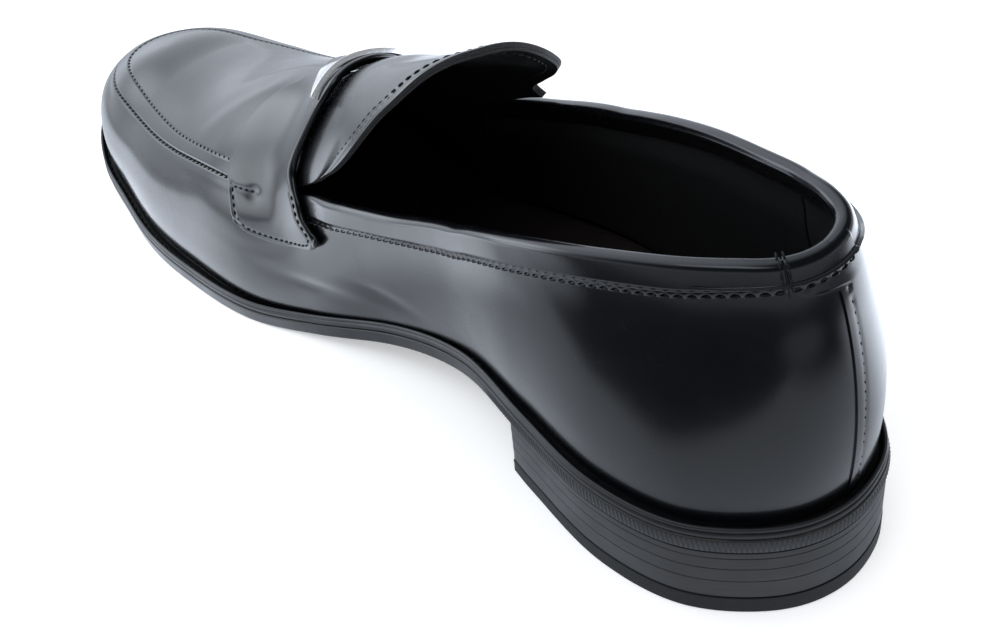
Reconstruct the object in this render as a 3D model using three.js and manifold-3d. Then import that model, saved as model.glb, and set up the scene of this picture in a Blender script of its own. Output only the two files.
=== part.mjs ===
// Penny loafer, right shoe. Millimetres. +X runs to the toe, +Y to the inner (medial) side, +Z up.
// The origin lies on the floor under the middle of the heel.
import * as THREE from 'three';
import { mergeVertices } from 'three/addons/utils/BufferGeometryUtils.js';
import Module from 'manifold-3d';

const wasm = await Module();
wasm.setup();

// ---- Driving dimensions ----------------------------------------------------------------------
const HEEL_RISE = 21.3; // floor to the underside of the outsole at the heel seat
const TOP_PIECE = 5.6; // rubber top piece that wears on the floor
const LIFT_SEAMS = [TOP_PIECE, 11.4, 15.7, 19.4]; // undersides of the leather lifts stacked on the top piece
const BREAST_X = 44; // front face of the heel, at the floor
const BREAST_LEAN = 3.5; // how far it leans back by the time it meets the outsole
const HEEL_SEAT_X = 37; // the sole starts to fall towards the ball here
const BALL_X = 145.5; // the sole reaches the floor here
const SPRING_X = 182; // the toe starts to lift here
const TOE_SPRING = 12.2; // lift of the sole at the tip of the toe
const OUTSOLE = 4.2;
const WELT = 1.5;
const WELT_WIDTH = 8.5;
const BOARD = 2.2; // insole board
const SOCK = 1.0; // sock lining
const HEEL_PAD = 2; // padding under the heel, on the sock
const SHANK = 1.2; // steel stiffener of the waist
const GAP = 0.3; // clearance between two layers
const UPPER = 1.4; // upper leather
const STIFFENER = 0.9; // counter and toe puff
const LINING = 0.9;
const STRAP = 1.9; // folded saddle strap
const BAND_WIDTH = 0.105; // collar band, as a share of the section length
const FOOT_RISE = 1.0; // the upper starts this far above the welt
const TOP_EDGE_GAP = 0.008; // apron to upper, as a share of the section length
const PIECE_GAP = 0.001; // between pieces that meet end to end, as a share of the outline
const STITCH_INSET = 2.2; // seam to the edge of the leather
const STITCH_OUT = 0.5; // middle of a thread above the leather it lies on

// Outline of the sole: the medial half from the back of the heel to the toe, then the lateral half back.
const OUTLINE = [
  [-33.6, 0], [-31, 10.9], [-24, 20.5], [-10, 30.2], [10, 33.6], [36, 30.1], [64, 24.4], [92, 25.5],
  [120, 33.2], [148, 41.7], [174, 44], [198, 43.6], [220, 39.7], [241, 34.6], [258, 24.4], [266.4, 11.8],
  [268.2, 0], [265, -11.2], [256, -22.7], [240, -33.8], [220, -41.9], [198, -47.3], [174, -49.4],
  [148, -47.1], [120, -40.9], [92, -38.4], [64, -36.1], [36, -33.9], [10, -32.4], [-10, -29],
  [-24, -20.9], [-31, -12.7],
];

// Section table of the foot shape. Each section is a cubic curve from the edge of the sole to the ridge.
const STATION = [-34, -10, 37, 90, 127, 164, 206, 243, 268];
const INSET = [2.9, 2.9, 2.5, 1.5, 2, 3, 3.4, 3.4, 3.2]; // upper inside the edge of the sole
const BULGE = [4.7, 0, 3.5, 4.1, 1.5, 1.1, 1.5, 1.3, 0.2]; // outward lean of the wall
const RISE = [0.42, 0.34, 0.43, 0.5, 0.35, 0.45, 0.5, 0.57, 0.59]; // height of the first handle
const REACH = [0.9, 0.74, 0.87, 0.77, 0.44, 0.54, 0.64, 0.65, 0.61]; // width of the second handle
const RIDGE_X = [-10, 58, 100, 127, 153, 185, 211, 230, 243];
const RIDGE_Z = [103, 97, 83.8, 67, 59.5, 48.6, 44.4, 43.7, 40];
const RIDGE_BACK = 0; // the sections behind this x meet in one fan around the heel
const RIDGE_FRONT = 231.5; // and those ahead of this x in one fan around the toe

// Top edge of the upper: the collar up to the strap, then the apron seam. Share of the section length.
const EDGE_X = [-34, -20, -3, 15, 38, 57, 76, 90, 104, 120, 140, 153, 206, 243, 268];
const EDGE_V = [
  0.637, 0.65, 0.633, 0.588, 0.483, 0.408, 0.372, 0.37, 0.405, 0.47, 0.472, 0.487, 0.559, 0.572, 0.6,
];
// Rear edge of the tongue, from its lateral corner (-) over the ridge (0) to its medial corner (+).
const TONGUE_W = [-0.52, -0.47, -0.4, -0.3, -0.2, -0.1, 0, 0.1, 0.2, 0.3, 0.4, 0.45];
const TONGUE_X = [82, 74, 68.5, 66, 65, 66, 69, 72.5, 77.5, 83, 90, 97];
const TONGUE_ROOT_X = 123; // the tongue comes out from under the strap here
const APRON_REAR_X = 127;
// Front and rear edges of the strap, from the ridge (0) to its end on the side.
const STRAP_W = [0, 0.15, 0.3, 0.45, 0.6, 0.69];
const STRAP_FRONT_X = [138, 142, 149, 151, 148.5, 141];
const STRAP_REAR_X = [121, 120.5, 119.5, 124, 118, 110.5];
const STRAP_END = STRAP_W.at(-1);
const STRAP_OUT = 0.6; // strap above the apron
const STRAP_LIFT = 2.8; // the strap stands off most here, on the lateral side of the instep
const LIFT_AT = -0.28;
const LIFT_SPREAD = 0.16;

// ---- Curves ------------------------------------------------------------------------------------
// Smooth curve y(x) through a table of points.
function through(xs, ys) {
  const slope = xs.map((x, i) => {
    const a = Math.max(i - 1, 0);
    const b = Math.min(i + 1, xs.length - 1);
    return (ys[b] - ys[a]) / (xs[b] - xs[a]);
  });
  return (x) => {
    let i = 0;
    while (i < xs.length - 2 && x > xs[i + 1]) i += 1;
    const h = xs[i + 1] - xs[i];
    const t = THREE.MathUtils.clamp((x - xs[i]) / h, 0, 1);
    const s = t * t * (3 - 2 * t);
    const bend = h * t * (1 - t) * ((1 - t) * slope[i] - t * slope[i + 1]);
    return ys[i] * (1 - s) + ys[i + 1] * s + bend;
  };
}

const insetAt = through(STATION, INSET);
const bulgeAt = through(STATION, BULGE);
const riseAt = through(STATION, RISE);
const reachAt = through(STATION, REACH);
const ridgeZ = through(RIDGE_X, RIDGE_Z);
const ridgeY = through([0, 100, 150, 222, 268], [0, 0, 1, 1.5, 1.5]);
const edgeV = through(EDGE_X, EDGE_V);
const tongueRear = through(TONGUE_W, TONGUE_X);
const strapFront = through(STRAP_W, STRAP_FRONT_X);
const strapRear = through(STRAP_W, STRAP_REAR_X);

// Underside of the outsole above the floor.
function soleZ(x) {
  const toe = TOE_SPRING * (Math.max(x - SPRING_X, 0) / (OUTLINE[16][0] - SPRING_X)) ** 1.8;
  const t = THREE.MathUtils.clamp((BALL_X - x) / (BALL_X - HEEL_SEAT_X), 0, 1);
  return toe + HEEL_RISE * t * t * (3 - 2 * t);
}

// The outline as evenly spaced points with outward normals. u runs 0 to 1 from the heel, medial side first.
const OUTLINE_STEPS = 720;
const outline = (() => {
  const curve = new THREE.CatmullRomCurve3(
    OUTLINE.map(([x, y]) => new THREE.Vector3(x, y, 0)), true, 'centripetal');
  curve.arcLengthDivisions = 2000;
  const points = curve.getSpacedPoints(OUTLINE_STEPS).slice(0, OUTLINE_STEPS);
  return points.map((p, i) => {
    const before = points[(i + OUTLINE_STEPS - 2) % OUTLINE_STEPS];
    const after = points[(i + 2) % OUTLINE_STEPS];
    const t = after.clone().sub(before).normalize();
    return { x: p.x, y: p.y, nx: -t.y, ny: t.x };
  });
})();
const TOE_INDEX = outline.reduce((best, p, i) => (p.x > outline[best].x ? i : best), 0);

function outlineAt(u) {
  const s = (((u % 1) + 1) % 1) * OUTLINE_STEPS;
  const a = outline[Math.floor(s) % OUTLINE_STEPS];
  const b = outline[(Math.floor(s) + 1) % OUTLINE_STEPS];
  const t = s - Math.floor(s);
  const mix = (k) => a[k] * (1 - t) + b[k] * t;
  return { x: mix('x'), y: mix('y'), nx: mix('nx'), ny: mix('ny') };
}

// Place on the outline at a given x; side is +1 for medial and -1 for lateral.
function uAt(x, side) {
  let low = side > 0 ? 0 : OUTLINE_STEPS;
  let high = TOE_INDEX;
  for (let i = 0; i < 24; i += 1) {
    const mid = (low + high) / 2;
    if (outlineAt(mid / OUTLINE_STEPS).x < x) low = mid;
    else high = mid;
  }
  return (low + high) / 2 / OUTLINE_STEPS;
}

// Edge of the outline drawn in by a distance, on one side at a given x.
function outlineY(x, side, inset = 0) {
  const half = side > 0 ? outline.slice(0, TOE_INDEX + 1) : outline.slice(TOE_INDEX).concat(outline[0]);
  const edge = half.map((o) => [o.x - o.nx * inset, o.y - o.ny * inset]);
  if (side < 0) edge.reverse();
  const i = Math.max(edge.findIndex((p) => p[0] > x), 1);
  const [a, b] = x >= edge.at(-1)[0] ? [edge.at(-1), edge.at(-1)] : [edge[i - 1], edge[i]];
  const t = b[0] > a[0] ? THREE.MathUtils.clamp((x - a[0]) / (b[0] - a[0]), 0, 1) : 0;
  return a[1] * (1 - t) + b[1] * t;
}

// ---- The foot shape ------------------------------------------------------------------------------
// x kept between the two fans, with soft ends.
function fanX(x) {
  const soft = 10;
  const ramp = (t) => soft * Math.log1p(Math.exp(Math.min(t / soft, 40)));
  return RIDGE_BACK + ramp(x - RIDGE_BACK) - ramp(x - RIDGE_FRONT);
}

function bodyPoint(u, v) {
  const o = outlineAt(u);
  const inset = insetAt(o.x);
  const foot = new THREE.Vector3(o.x - o.nx * inset, o.y - o.ny * inset, 0);
  foot.z = soleZ(foot.x) + OUTSOLE + GAP + WELT + FOOT_RISE;
  const rx = fanX(foot.x);
  const ridge = new THREE.Vector3(rx, ridgeY(rx), ridgeZ(rx));
  const slope = (ridgeZ(rx + 1) - ridgeZ(rx - 1)) / 2;
  const height = ridge.z - foot.z;
  const bulge = bulgeAt(foot.x);
  const reach = reachAt(foot.x);
  const lower = foot.clone().add(new THREE.Vector3(o.nx * bulge, o.ny * bulge, height * riseAt(foot.x)));
  const dx = (foot.x - ridge.x) * reach;
  const dy = (foot.y - ridge.y) * reach;
  const upper = ridge.clone().add(new THREE.Vector3(dx, dy, slope * dx));
  return new THREE.CubicBezierCurve3(foot, lower, upper, ridge).getPoint(v);
}

// Point at a distance outside the foot shape, measured square to it.
function skin(u, v, out = 0) {
  const at = Math.min(v, 0.97);
  const du = bodyPoint(u + 0.002, at).sub(bodyPoint(u - 0.002, at));
  const dv = bodyPoint(u, at + 0.01).sub(bodyPoint(u, Math.max(at - 0.01, 0)));
  const normal = dv.cross(du).normalize();
  if (v > 0.985) {
    const rx = bodyPoint(u, 1).x;
    normal.set((ridgeZ(rx - 1) - ridgeZ(rx + 1)) / 2, 0, 1).normalize();
  }
  return bodyPoint(u, v).addScaledVector(normal, out);
}

// The same by section: w runs from the lateral edge (-1) over the ridge (0) to the medial edge (+1).
function across(x, w, out = 0) {
  return skin(uAt(x, w < 0 ? -1 : 1), 1 - Math.abs(w), out);
}

// ---- Solids --------------------------------------------------------------------------------------
const span = (a, b, n) => Array.from({ length: n + 1 }, (_, i) => a + (b - a) * (i / n));
// Stations crowded towards both ends.
const rounded = (a, b, n) => span(0, Math.PI, n).map((t) => a + (b - a) * (1 - Math.cos(t)) / 2);

function solid(points, triangles) {
  const positions = points.flatMap((p) => [p.x, p.y, p.z]);
  let volume = 0;
  for (const [a, b, c] of triangles) {
    volume += points[a].dot(points[b].clone().cross(points[c]));
  }
  const facing = volume < 0 ? triangles.map(([a, b, c]) => [a, c, b]) : triangles;
  const geometry = new THREE.BufferGeometry();
  geometry.setAttribute('position', new THREE.Float32BufferAttribute(positions, 3));
  geometry.setIndex(facing.flat());
  return geometry;
}

// Closed sheet between an outer and an inner grid of points. Rows may run round in a ring.
function sheet(outer, inner, ring = false) {
  const rows = outer.length;
  const cols = outer[0].length;
  const points = [...outer.flat(), ...inner.flat()];
  const o = (i, j) => (i % rows) * cols + j;
  const n = (i, j) => rows * cols + (i % rows) * cols + j;
  const triangles = [];
  const quad = (a, b, c, d) => triangles.push([a, b, c], [a, c, d]);
  const steps = ring ? rows : rows - 1;
  for (let i = 0; i < steps; i += 1) {
    for (let j = 0; j < cols - 1; j += 1) {
      quad(o(i, j), o(i + 1, j), o(i + 1, j + 1), o(i, j + 1));
      quad(n(i, j), n(i, j + 1), n(i + 1, j + 1), n(i + 1, j));
    }
    quad(o(i, 0), n(i, 0), n(i + 1, 0), o(i + 1, 0));
    quad(o(i, cols - 1), o(i + 1, cols - 1), n(i + 1, cols - 1), n(i, cols - 1));
  }
  if (!ring) {
    for (let j = 0; j < cols - 1; j += 1) {
      quad(o(0, j), o(0, j + 1), n(0, j + 1), n(0, j));
      quad(o(rows - 1, j), n(rows - 1, j), n(rows - 1, j + 1), o(rows - 1, j + 1));
    }
  }
  return solid(points, triangles);
}

// Layer of the upper: at(i, j, out) gives the point of a grid at a distance outside the foot shape.
function layer(us, vs, outerAt, innerAt, at, ring = false) {
  const grid = (out) => us.map((u) => vs.map((v) => at(u, v, out)));
  return sheet(grid(outerAt), grid(innerAt), ring);
}

// Flat or shaped plate that fills the sole outline between two heights above the floor.
function plate(xs, inset, bottom, top) {
  const row = (x, z) => [1, -1].map((side) => new THREE.Vector3(x, outlineY(x, side, inset), z(x)));
  return sheet(xs.map((x) => row(x, top)), xs.map((x) => row(x, bottom)));
}

// Round rod along z.
function pin(x, y, radius, z0, z1, sides = 8) {
  const rod = new THREE.CylinderGeometry(radius, radius, z1 - z0, sides);
  rod.rotateX(Math.PI / 2);
  rod.translate(x, y, (z0 + z1) / 2);
  return rod;
}

// Thin thread along a row of points.
function thread(points, radius = 0.28, sides = 3) {
  const path = new THREE.CatmullRomCurve3(points);
  const frames = path.computeFrenetFrames(points.length - 1);
  const rings = points.map((p, i) => {
    const c = path.getPoint(i / (points.length - 1));
    return Array.from({ length: sides }, (_, k) => {
      const a = (2 * Math.PI * k) / sides;
      return c.clone()
        .addScaledVector(frames.normals[i], radius * Math.cos(a))
        .addScaledVector(frames.binormals[i], radius * Math.sin(a));
    });
  });
  const triangles = [];
  for (let i = 0; i < rings.length - 1; i += 1) {
    for (let k = 0; k < sides; k += 1) {
      const a = i * sides + k;
      const b = i * sides + ((k + 1) % sides);
      triangles.push([a, b, b + sides], [a, b + sides, a + sides]);
    }
  }
  for (let k = 1; k < sides - 1; k += 1) {
    const last = (rings.length - 1) * sides;
    triangles.push([0, k + 1, k], [last, last + k, last + k + 1]);
  }
  return solid(rings.flat(), triangles);
}

function toManifold(geometry) {
  const bare = geometry.clone();
  bare.deleteAttribute('normal');
  bare.deleteAttribute('uv');
  const merged = mergeVertices(bare);
  const vertProperties = new Float32Array(merged.attributes.position.array);
  const triVerts = new Uint32Array(merged.index.array);
  return new wasm.Manifold(new wasm.Mesh({ numProp: 3, vertProperties, triVerts }));
}

// Cut tools out of a body.
function cut(body, tools) {
  const left = tools.reduce((rest, tool) => rest.subtract(toManifold(tool)), toManifold(body));
  const mesh = left.getMesh();
  const geometry = new THREE.BufferGeometry();
  geometry.setAttribute('position', new THREE.Float32BufferAttribute(mesh.vertProperties, 3));
  geometry.setIndex(Array.from(mesh.triVerts));
  return geometry;
}

// ---- Materials -----------------------------------------------------------------------------------
const finish = {
  calf: [0x17181c, 0.28, 0],
  lining: [0x15130f, 0.75, 0],
  board: [0x8a6a48, 0.85, 0],
  cork: [0x9b7448, 0.95, 0],
  sole: [0x1b1a1a, 0.5, 0],
  rubber: [0x141415, 0.7, 0],
  stiffener: [0xb9ac96, 0.9, 0],
  steel: [0x9aa0a6, 0.35, 1],
  polished: [0xd6d8dc, 0.12, 1],
  thread: [0x0d0d0f, 0.8, 0],
};

const shoe = new THREE.Group();

function add(name, geometry, look) {
  const [color, roughness, metalness] = finish[look];
  const mesh = new THREE.Mesh(geometry, new THREE.MeshStandardMaterial({ color, roughness, metalness }));
  mesh.name = name;
  shoe.add(mesh);
}

// ---- Heel ----------------------------------------------------------------------------------------
const HEEL_BACK = -33.2;
const HEEL_INSET = 0.3; // heel inside the edge of the sole
const NAIL_SPOTS = [[-22, 0], [-8, 20], [-8, -20], [28, 21], [28, -21]];
const NAIL_RADIUS = 0.9;
const NAIL_BOTTOM = 2.5;
const HEEL_TOP = HEEL_RISE - GAP * 2;
const nailHoles = NAIL_SPOTS.map(([x, y]) => pin(x, y, NAIL_RADIUS + GAP, NAIL_BOTTOM - GAP, HEEL_RISE + GAP));
const heelShares = rounded(0, 2, 28).slice(0, 15); // from the back of the heel to its breast

function heelPlate(bottom, top) {
  const level = (z) => heelShares.map((share) => {
    const breast = BREAST_X - (BREAST_LEAN * z) / HEEL_RISE;
    const x = THREE.MathUtils.lerp(HEEL_BACK, breast, share);
    return [1, -1].map((side) => new THREE.Vector3(x, outlineY(x, side, HEEL_INSET), z));
  });
  return sheet(level(top), level(bottom));
}

add('heel_top_piece', cut(heelPlate(0, TOP_PIECE), nailHoles), 'rubber');
LIFT_SEAMS.forEach((seam, i) => {
  const top = LIFT_SEAMS[i + 1] ?? HEEL_TOP;
  add(`heel_lift_${i + 1}`, cut(heelPlate(seam + GAP, top), nailHoles), 'sole');
});
NAIL_SPOTS.forEach(([x, y], i) => {
  add(`heel_nail_${i + 1}`, pin(x, y, NAIL_RADIUS, NAIL_BOTTOM, HEEL_TOP), 'steel');
});

// ---- Bottom --------------------------------------------------------------------------------------
const BACK_X = -33.5;
const TOE_X = 268.1;
const soleTop = (x) => soleZ(x) + OUTSOLE;
const bottomStations = (inset, n) => rounded(BACK_X + inset, TOE_X - inset, n);
const raised = (z) => (x) => soleTop(x) + z;

add('outsole', plate(bottomStations(0, 48), 0, soleZ, soleTop), 'sole');

function ringPoint(u, inset, z) {
  const o = outlineAt(u);
  const p = new THREE.Vector3(o.x - o.nx * inset, o.y - o.ny * inset, 0);
  p.z = soleTop(p.x) + z;
  return p;
}
const WELT_INSET = 0.2;
const weltGrid = (z) => span(0, 1, 60).slice(0, 60)
  .map((u) => [WELT_INSET, WELT_WIDTH].map((inset) => ringPoint(u, inset, z)));
add('welt', sheet(weltGrid(GAP + WELT), weltGrid(GAP), true), 'sole');

// Inside the ring of the welt: the shank under the waist, then cork to the toe.
const SHANK_FROM = -14;
const SHANK_TO = 112;
const SHANK_HALF = 5.5;
const SHANK_Y = -3;
const SHANK_UNDER = 0.5;
const shankRow = (x, z) => [SHANK_Y + SHANK_HALF, SHANK_Y - SHANK_HALF]
  .map((y) => new THREE.Vector3(x, y, soleTop(x) + z));
const shankXs = span(SHANK_FROM, SHANK_TO, 16);
const shankLevel = (z) => shankXs.map((x) => shankRow(x, z));
add('shank', sheet(shankLevel(SHANK_UNDER + SHANK), shankLevel(SHANK_UNDER)), 'steel');

const CORK_INSET = WELT_WIDTH + 1.2;
const CORK_BEND_X = 220; // the cork narrows to its tip from here
const corkTip = rounded(2 * CORK_BEND_X - TOE_X + CORK_INSET, TOE_X - CORK_INSET, 10).slice(6);
const corkXs = [...span(SHANK_TO + 2, CORK_BEND_X, 9), ...corkTip];
add('cork_filler', plate(corkXs, CORK_INSET, raised(GAP), raised(GAP + WELT)), 'cork');

// Insole board, sock and heel pad lie on each other.
const stacked = (name, xs, inset, z, thick, look) => {
  add(name, plate(xs, inset, raised(z), raised(z + thick)), look);
};
const BOARD_Z = GAP * 2 + WELT;
const BOARD_INSET = 8;
const SOCK_Z = BOARD_Z + BOARD + GAP;
const SOCK_INSET = 8.4;
const PAD_Z = SOCK_Z + SOCK + GAP;
const PAD_INSET = 10;
const PAD_FRONT_X = 50;
stacked('insole_board', bottomStations(BOARD_INSET, 34), BOARD_INSET, BOARD_Z, BOARD, 'board');
stacked('sock_lining', bottomStations(SOCK_INSET, 34), SOCK_INSET, SOCK_Z, SOCK, 'lining');
stacked('heel_pad', rounded(BACK_X + PAD_INSET, PAD_FRONT_X, 14), PAD_INSET, PAD_Z, HEEL_PAD, 'lining');

// ---- Upper ---------------------------------------------------------------------------------------
const onEdge = (u, share) => edgeV(outlineAt(u).x) * share;
const BACK_SEAM = 0.004; // the back seam, as a place on the outline
const WALL_STEPS = 68;
// Places along the wall that every layer shares, so that their facets lie parallel.
function wallStations(from, to) {
  const near = 0.25 / WALL_STEPS;
  const inside = span(-1, 2, WALL_STEPS * 3).filter((u) => u > from + near && u < to - near);
  return [from, ...inside, to];
}
const wall = (u, share, out) => skin(u, onEdge(u, share), out);
const upperUs = wallStations(BACK_SEAM + PIECE_GAP, 1 + BACK_SEAM - PIECE_GAP);
add('upper', layer(upperUs, span(0.004, 0.995, 7), 0, -UPPER, wall), 'calf');

// Apron: rows run from the medial seam over the ridge to the lateral seam.
const apronW = (x) => 1 - edgeV(x) - TOP_EDGE_GAP;
const apronRow = (x, out) => span(-1, 1, 10).map((share) => across(x, share * apronW(x), out));
const apronXs = [...span(APRON_REAR_X, 228, 14), ...span(234, 262, 6), 266, TOE_X];
const apronGrid = (out) => apronXs.map((x) => apronRow(x, out));
add('apron', sheet(apronGrid(0), apronGrid(-UPPER)), 'calf');

// Tongue: columns run forward from its rear edge to the root under the strap, where it is narrower.
const TONGUE_HALF = [-0.5, 0.44];
const TONGUE_WAIST = 0.86;
const TONGUE_WAIST_X = 85;
const tongueColumn = (w, out) => span(0, 1, 6).map((t) => {
  const x = THREE.MathUtils.lerp(tongueRear(w), TONGUE_ROOT_X, t);
  const narrow = THREE.MathUtils.smoothstep(x, TONGUE_WAIST_X, TONGUE_ROOT_X);
  return across(x, w * THREE.MathUtils.lerp(1, TONGUE_WAIST, narrow), out);
});
const tongueGrid = (out) => span(...TONGUE_HALF, 14).map((w) => tongueColumn(w, out));
const tongueLayer = (outer, thick) => sheet(tongueGrid(outer), tongueGrid(outer - thick));
add('tongue', tongueLayer(0, UPPER), 'calf');
add('tongue_lining', tongueLayer(-UPPER - GAP, LINING), 'lining');

// Saddle strap over the apron; t runs from its rear edge to its front edge.
function strapLift(w, t) {
  return STRAP_LIFT * (1 - t / 2) * Math.exp(-(((w - LIFT_AT) / LIFT_SPREAD) ** 2));
}

function onStrap(w, t, out) {
  const x = THREE.MathUtils.lerp(strapRear(Math.abs(w)), strapFront(Math.abs(w)), t);
  return across(x, w, out + strapLift(w, t));
}
const strapWs = span(-STRAP_END, STRAP_END, 20);
const strapGrid = (out) => span(0, 1, 4).map((t) => strapWs.map((w) => onStrap(w, t, out)));
add('saddle_strap', sheet(strapGrid(STRAP_OUT + STRAP), strapGrid(STRAP_OUT)), 'calf');

// Collar band round the opening, folded over the top edge.
const BAND = 0.9; // thickness of the band
const BAND_OUT = GAP * 1.7; // clearance to the upper inside it
const FOLD = [0.026, 0.011]; // height of the fold over the top edge, outside and inside the band
const FOLD_HALF = [0.2, 0.1]; // half width of the fold past the upper, outside and inside the band
function band(us) {
  const column = (u, k) => {
    const top = edgeV(outlineAt(u).x);
    const out = BAND_OUT + BAND * (1 - k);
    const at = (share, level) => skin(u, top - BAND_WIDTH * share, level);
    const fold = (level) => skin(u, top + FOLD[k], level);
    const outside = [1, 0.5, 0.06].map((share) => at(share, out));
    const inside = [0.06, 0.2].map((share) => at(share, -UPPER - out));
    return [...outside, fold(FOLD_HALF[k]), fold(-UPPER - FOLD_HALF[k]), ...inside];
  };
  return sheet(us.map((u) => column(u, 0)), us.map((u) => column(u, 1)));
}
const COLLAR_FRONT_X = 103;
const BAND_JOIN = 0.02; // the two bands meet here, on the medial side of the heel
const medialBand = [BAND_JOIN + PIECE_GAP, uAt(COLLAR_FRONT_X, 1)];
const lateralBand = [uAt(COLLAR_FRONT_X, -1) - 1, BAND_JOIN - PIECE_GAP];
add('collar_band_medial', band(wallStations(...medialBand)), 'calf');
add('collar_band_lateral', band(wallStations(...lateralBand)), 'calf');

// ---- Inside the upper ----------------------------------------------------------------------------
const STIFF_OUT = -UPPER - GAP * 1.8;
const COUNTER_FRONT_X = 62;
const PUFF_REAR_X = 222;
const stiffener = (us, share) => layer(us, span(0.03, share, 4), STIFF_OUT, STIFF_OUT - STIFFENER, wall);
const counterUs = wallStations(uAt(COUNTER_FRONT_X, -1) - 1, uAt(COUNTER_FRONT_X, 1));
const puffUs = wallStations(uAt(PUFF_REAR_X, 1), uAt(PUFF_REAR_X, -1));
add('heel_counter', stiffener(counterUs, 0.7), 'stiffener');
add('toe_puff', stiffener(puffUs, 0.93), 'stiffener');

const LINING_OUT = STIFF_OUT - STIFFENER - GAP * 1.6;
const LINING_JOIN_X = 112;
const GRIP_U = 0.06; // the heel grip reaches this far round from the back
const liningShell = (from, to) => layer(
  wallStations(from, to), span(0.02, 0.96, 5), LINING_OUT, LINING_OUT - LINING, wall);
add('heel_grip', liningShell(-GRIP_U, GRIP_U), 'lining');
add('quarter_lining_medial', liningShell(GRIP_U + PIECE_GAP, uAt(LINING_JOIN_X, 1)), 'lining');
add('quarter_lining_lateral', liningShell(uAt(LINING_JOIN_X, -1) - 1, -GRIP_U - PIECE_GAP), 'lining');
add('vamp_lining', liningShell(uAt(LINING_JOIN_X + 1, 1), uAt(LINING_JOIN_X + 1, -1)), 'lining');

const APRON_LINING_SHARE = 0.03; // short of the apron seam by this share of the section
const apronLiningXs = [...span(APRON_REAR_X + 1, 228, 10), ...span(235, 257, 4)];
const apronLiningGrid = (out) => apronLiningXs.map((x) => {
  const half = 1 - edgeV(x) - APRON_LINING_SHARE;
  return span(-half, half, 8).map((w) => across(x, w, out));
});
add('apron_lining', sheet(apronLiningGrid(LINING_OUT), apronLiningGrid(LINING_OUT - LINING)), 'lining');

// ---- Ornament ------------------------------------------------------------------------------------
// The plate is a trapezoid: [lateral end, medial end] of its long rear edge and of its short front edge.
const PLATE_REAR_W = [-0.4, 0.18];
const PLATE_FRONT_W = [-0.27, 0.02];
const PLATE_REAR = 0.1; // shares of the strap's depth
const PLATE_FRONT = 0.64;
const PLATE_THICK = 1.4;
const PLATE_BASE = STRAP_OUT + STRAP + GAP;
const plateRow = (share, out) => {
  const [from, to] = [0, 1].map((end) => THREE.MathUtils.lerp(PLATE_REAR_W[end], PLATE_FRONT_W[end], share));
  const t = THREE.MathUtils.lerp(PLATE_REAR, PLATE_FRONT, share);
  return span(from, to, 10).map((w) => onStrap(w, t, out));
};
const plateGrid = (out) => span(0, 1, 3).map((share) => plateRow(share, out));
add('ornament_plate', sheet(plateGrid(PLATE_BASE + PLATE_THICK), plateGrid(PLATE_BASE)), 'polished');

// ---- Threads -------------------------------------------------------------------------------------
const SEAM_REAR_X = 154; // the apron seams run round the toe from here
const WHIP_SHARE = 0.11; // inner seam of the apron, above the outer one
const OUTER_SHARE = -0.02; // outer seam, just below the edge of the apron
const apronSeam = (share) => thread(span(uAt(SEAM_REAR_X, 1), uAt(SEAM_REAR_X, -1), 36)
  .map((u) => skin(u, onEdge(u, 1) + share, STITCH_OUT)));
add('apron_seam_thread', apronSeam(OUTER_SHARE), 'thread');
add('apron_whip_thread', apronSeam(WHIP_SHARE), 'thread');

function strapStitch(side) {
  const row = (from, to, t) => span(from, to, 4).map((w) => {
    const x = t ? strapFront(w) - STITCH_INSET : strapRear(w) + STITCH_INSET;
    return across(x, side * w, STRAP_OUT + STRAP + STITCH_OUT + strapLift(side * w, t));
  });
  return thread([...row(0.52, 0.655, 0), ...row(0.665, 0.52, 1)]);
}
add('strap_thread_medial', strapStitch(1), 'thread');
add('strap_thread_lateral', strapStitch(-1), 'thread');

const END_U = 0.004; // seams stop this far short of the ends of the bands
const COLLAR_SHARE = 0.85;
const collarStitch = (from, to, n) => thread(span(from + END_U, to - END_U, n)
  .map((u) => skin(u, onEdge(u, 1) - BAND_WIDTH * COLLAR_SHARE, BAND_OUT + BAND + STITCH_OUT)));
add('collar_thread_medial', collarStitch(...medialBand, 20), 'thread');
add('collar_thread_lateral', collarStitch(...lateralBand, 24), 'thread');

const backSeam = span(0.06, 0.74, 12).map((share) => skin(-BACK_SEAM, onEdge(0, share), STITCH_OUT));
add('back_seam_thread', thread(backSeam), 'thread');
const TONGUE_STITCH_INSET = 4;
const tongueSeam = span(-0.46, 0.4, 22)
  .map((w) => across(tongueRear(w) + TONGUE_STITCH_INSET, w * 0.98, STITCH_OUT));
add('tongue_thread', thread(tongueSeam), 'thread');
const WELT_SEAM_X = 60; // the welt is stitched from here round the toe
const WELT_STITCH_INSET = 1.6;
const weltSeam = span(uAt(WELT_SEAM_X, 1), uAt(WELT_SEAM_X, -1), 44)
  .map((u) => ringPoint(u, WELT_STITCH_INSET, GAP + WELT + 0.4));
add('welt_thread', thread(weltSeam), 'thread');

export default shoe;
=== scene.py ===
"""Black penny loafer, right shoe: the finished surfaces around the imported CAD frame.

The leather pieces are patches of one foot shape. A place on it is (u, v): u runs round the edge of the
sole, 0 at the back of the heel, medial side first, and v runs up a section, 0 at the welt and 1 at the
ridge over the instep. All design sizes are in millimetres of a 301.6 mm outsole; MM turns them into
metres at the size of the frame.
"""
import math

import bpy
import bmesh
import numpy as np
from mathutils import Matrix, Vector


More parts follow.
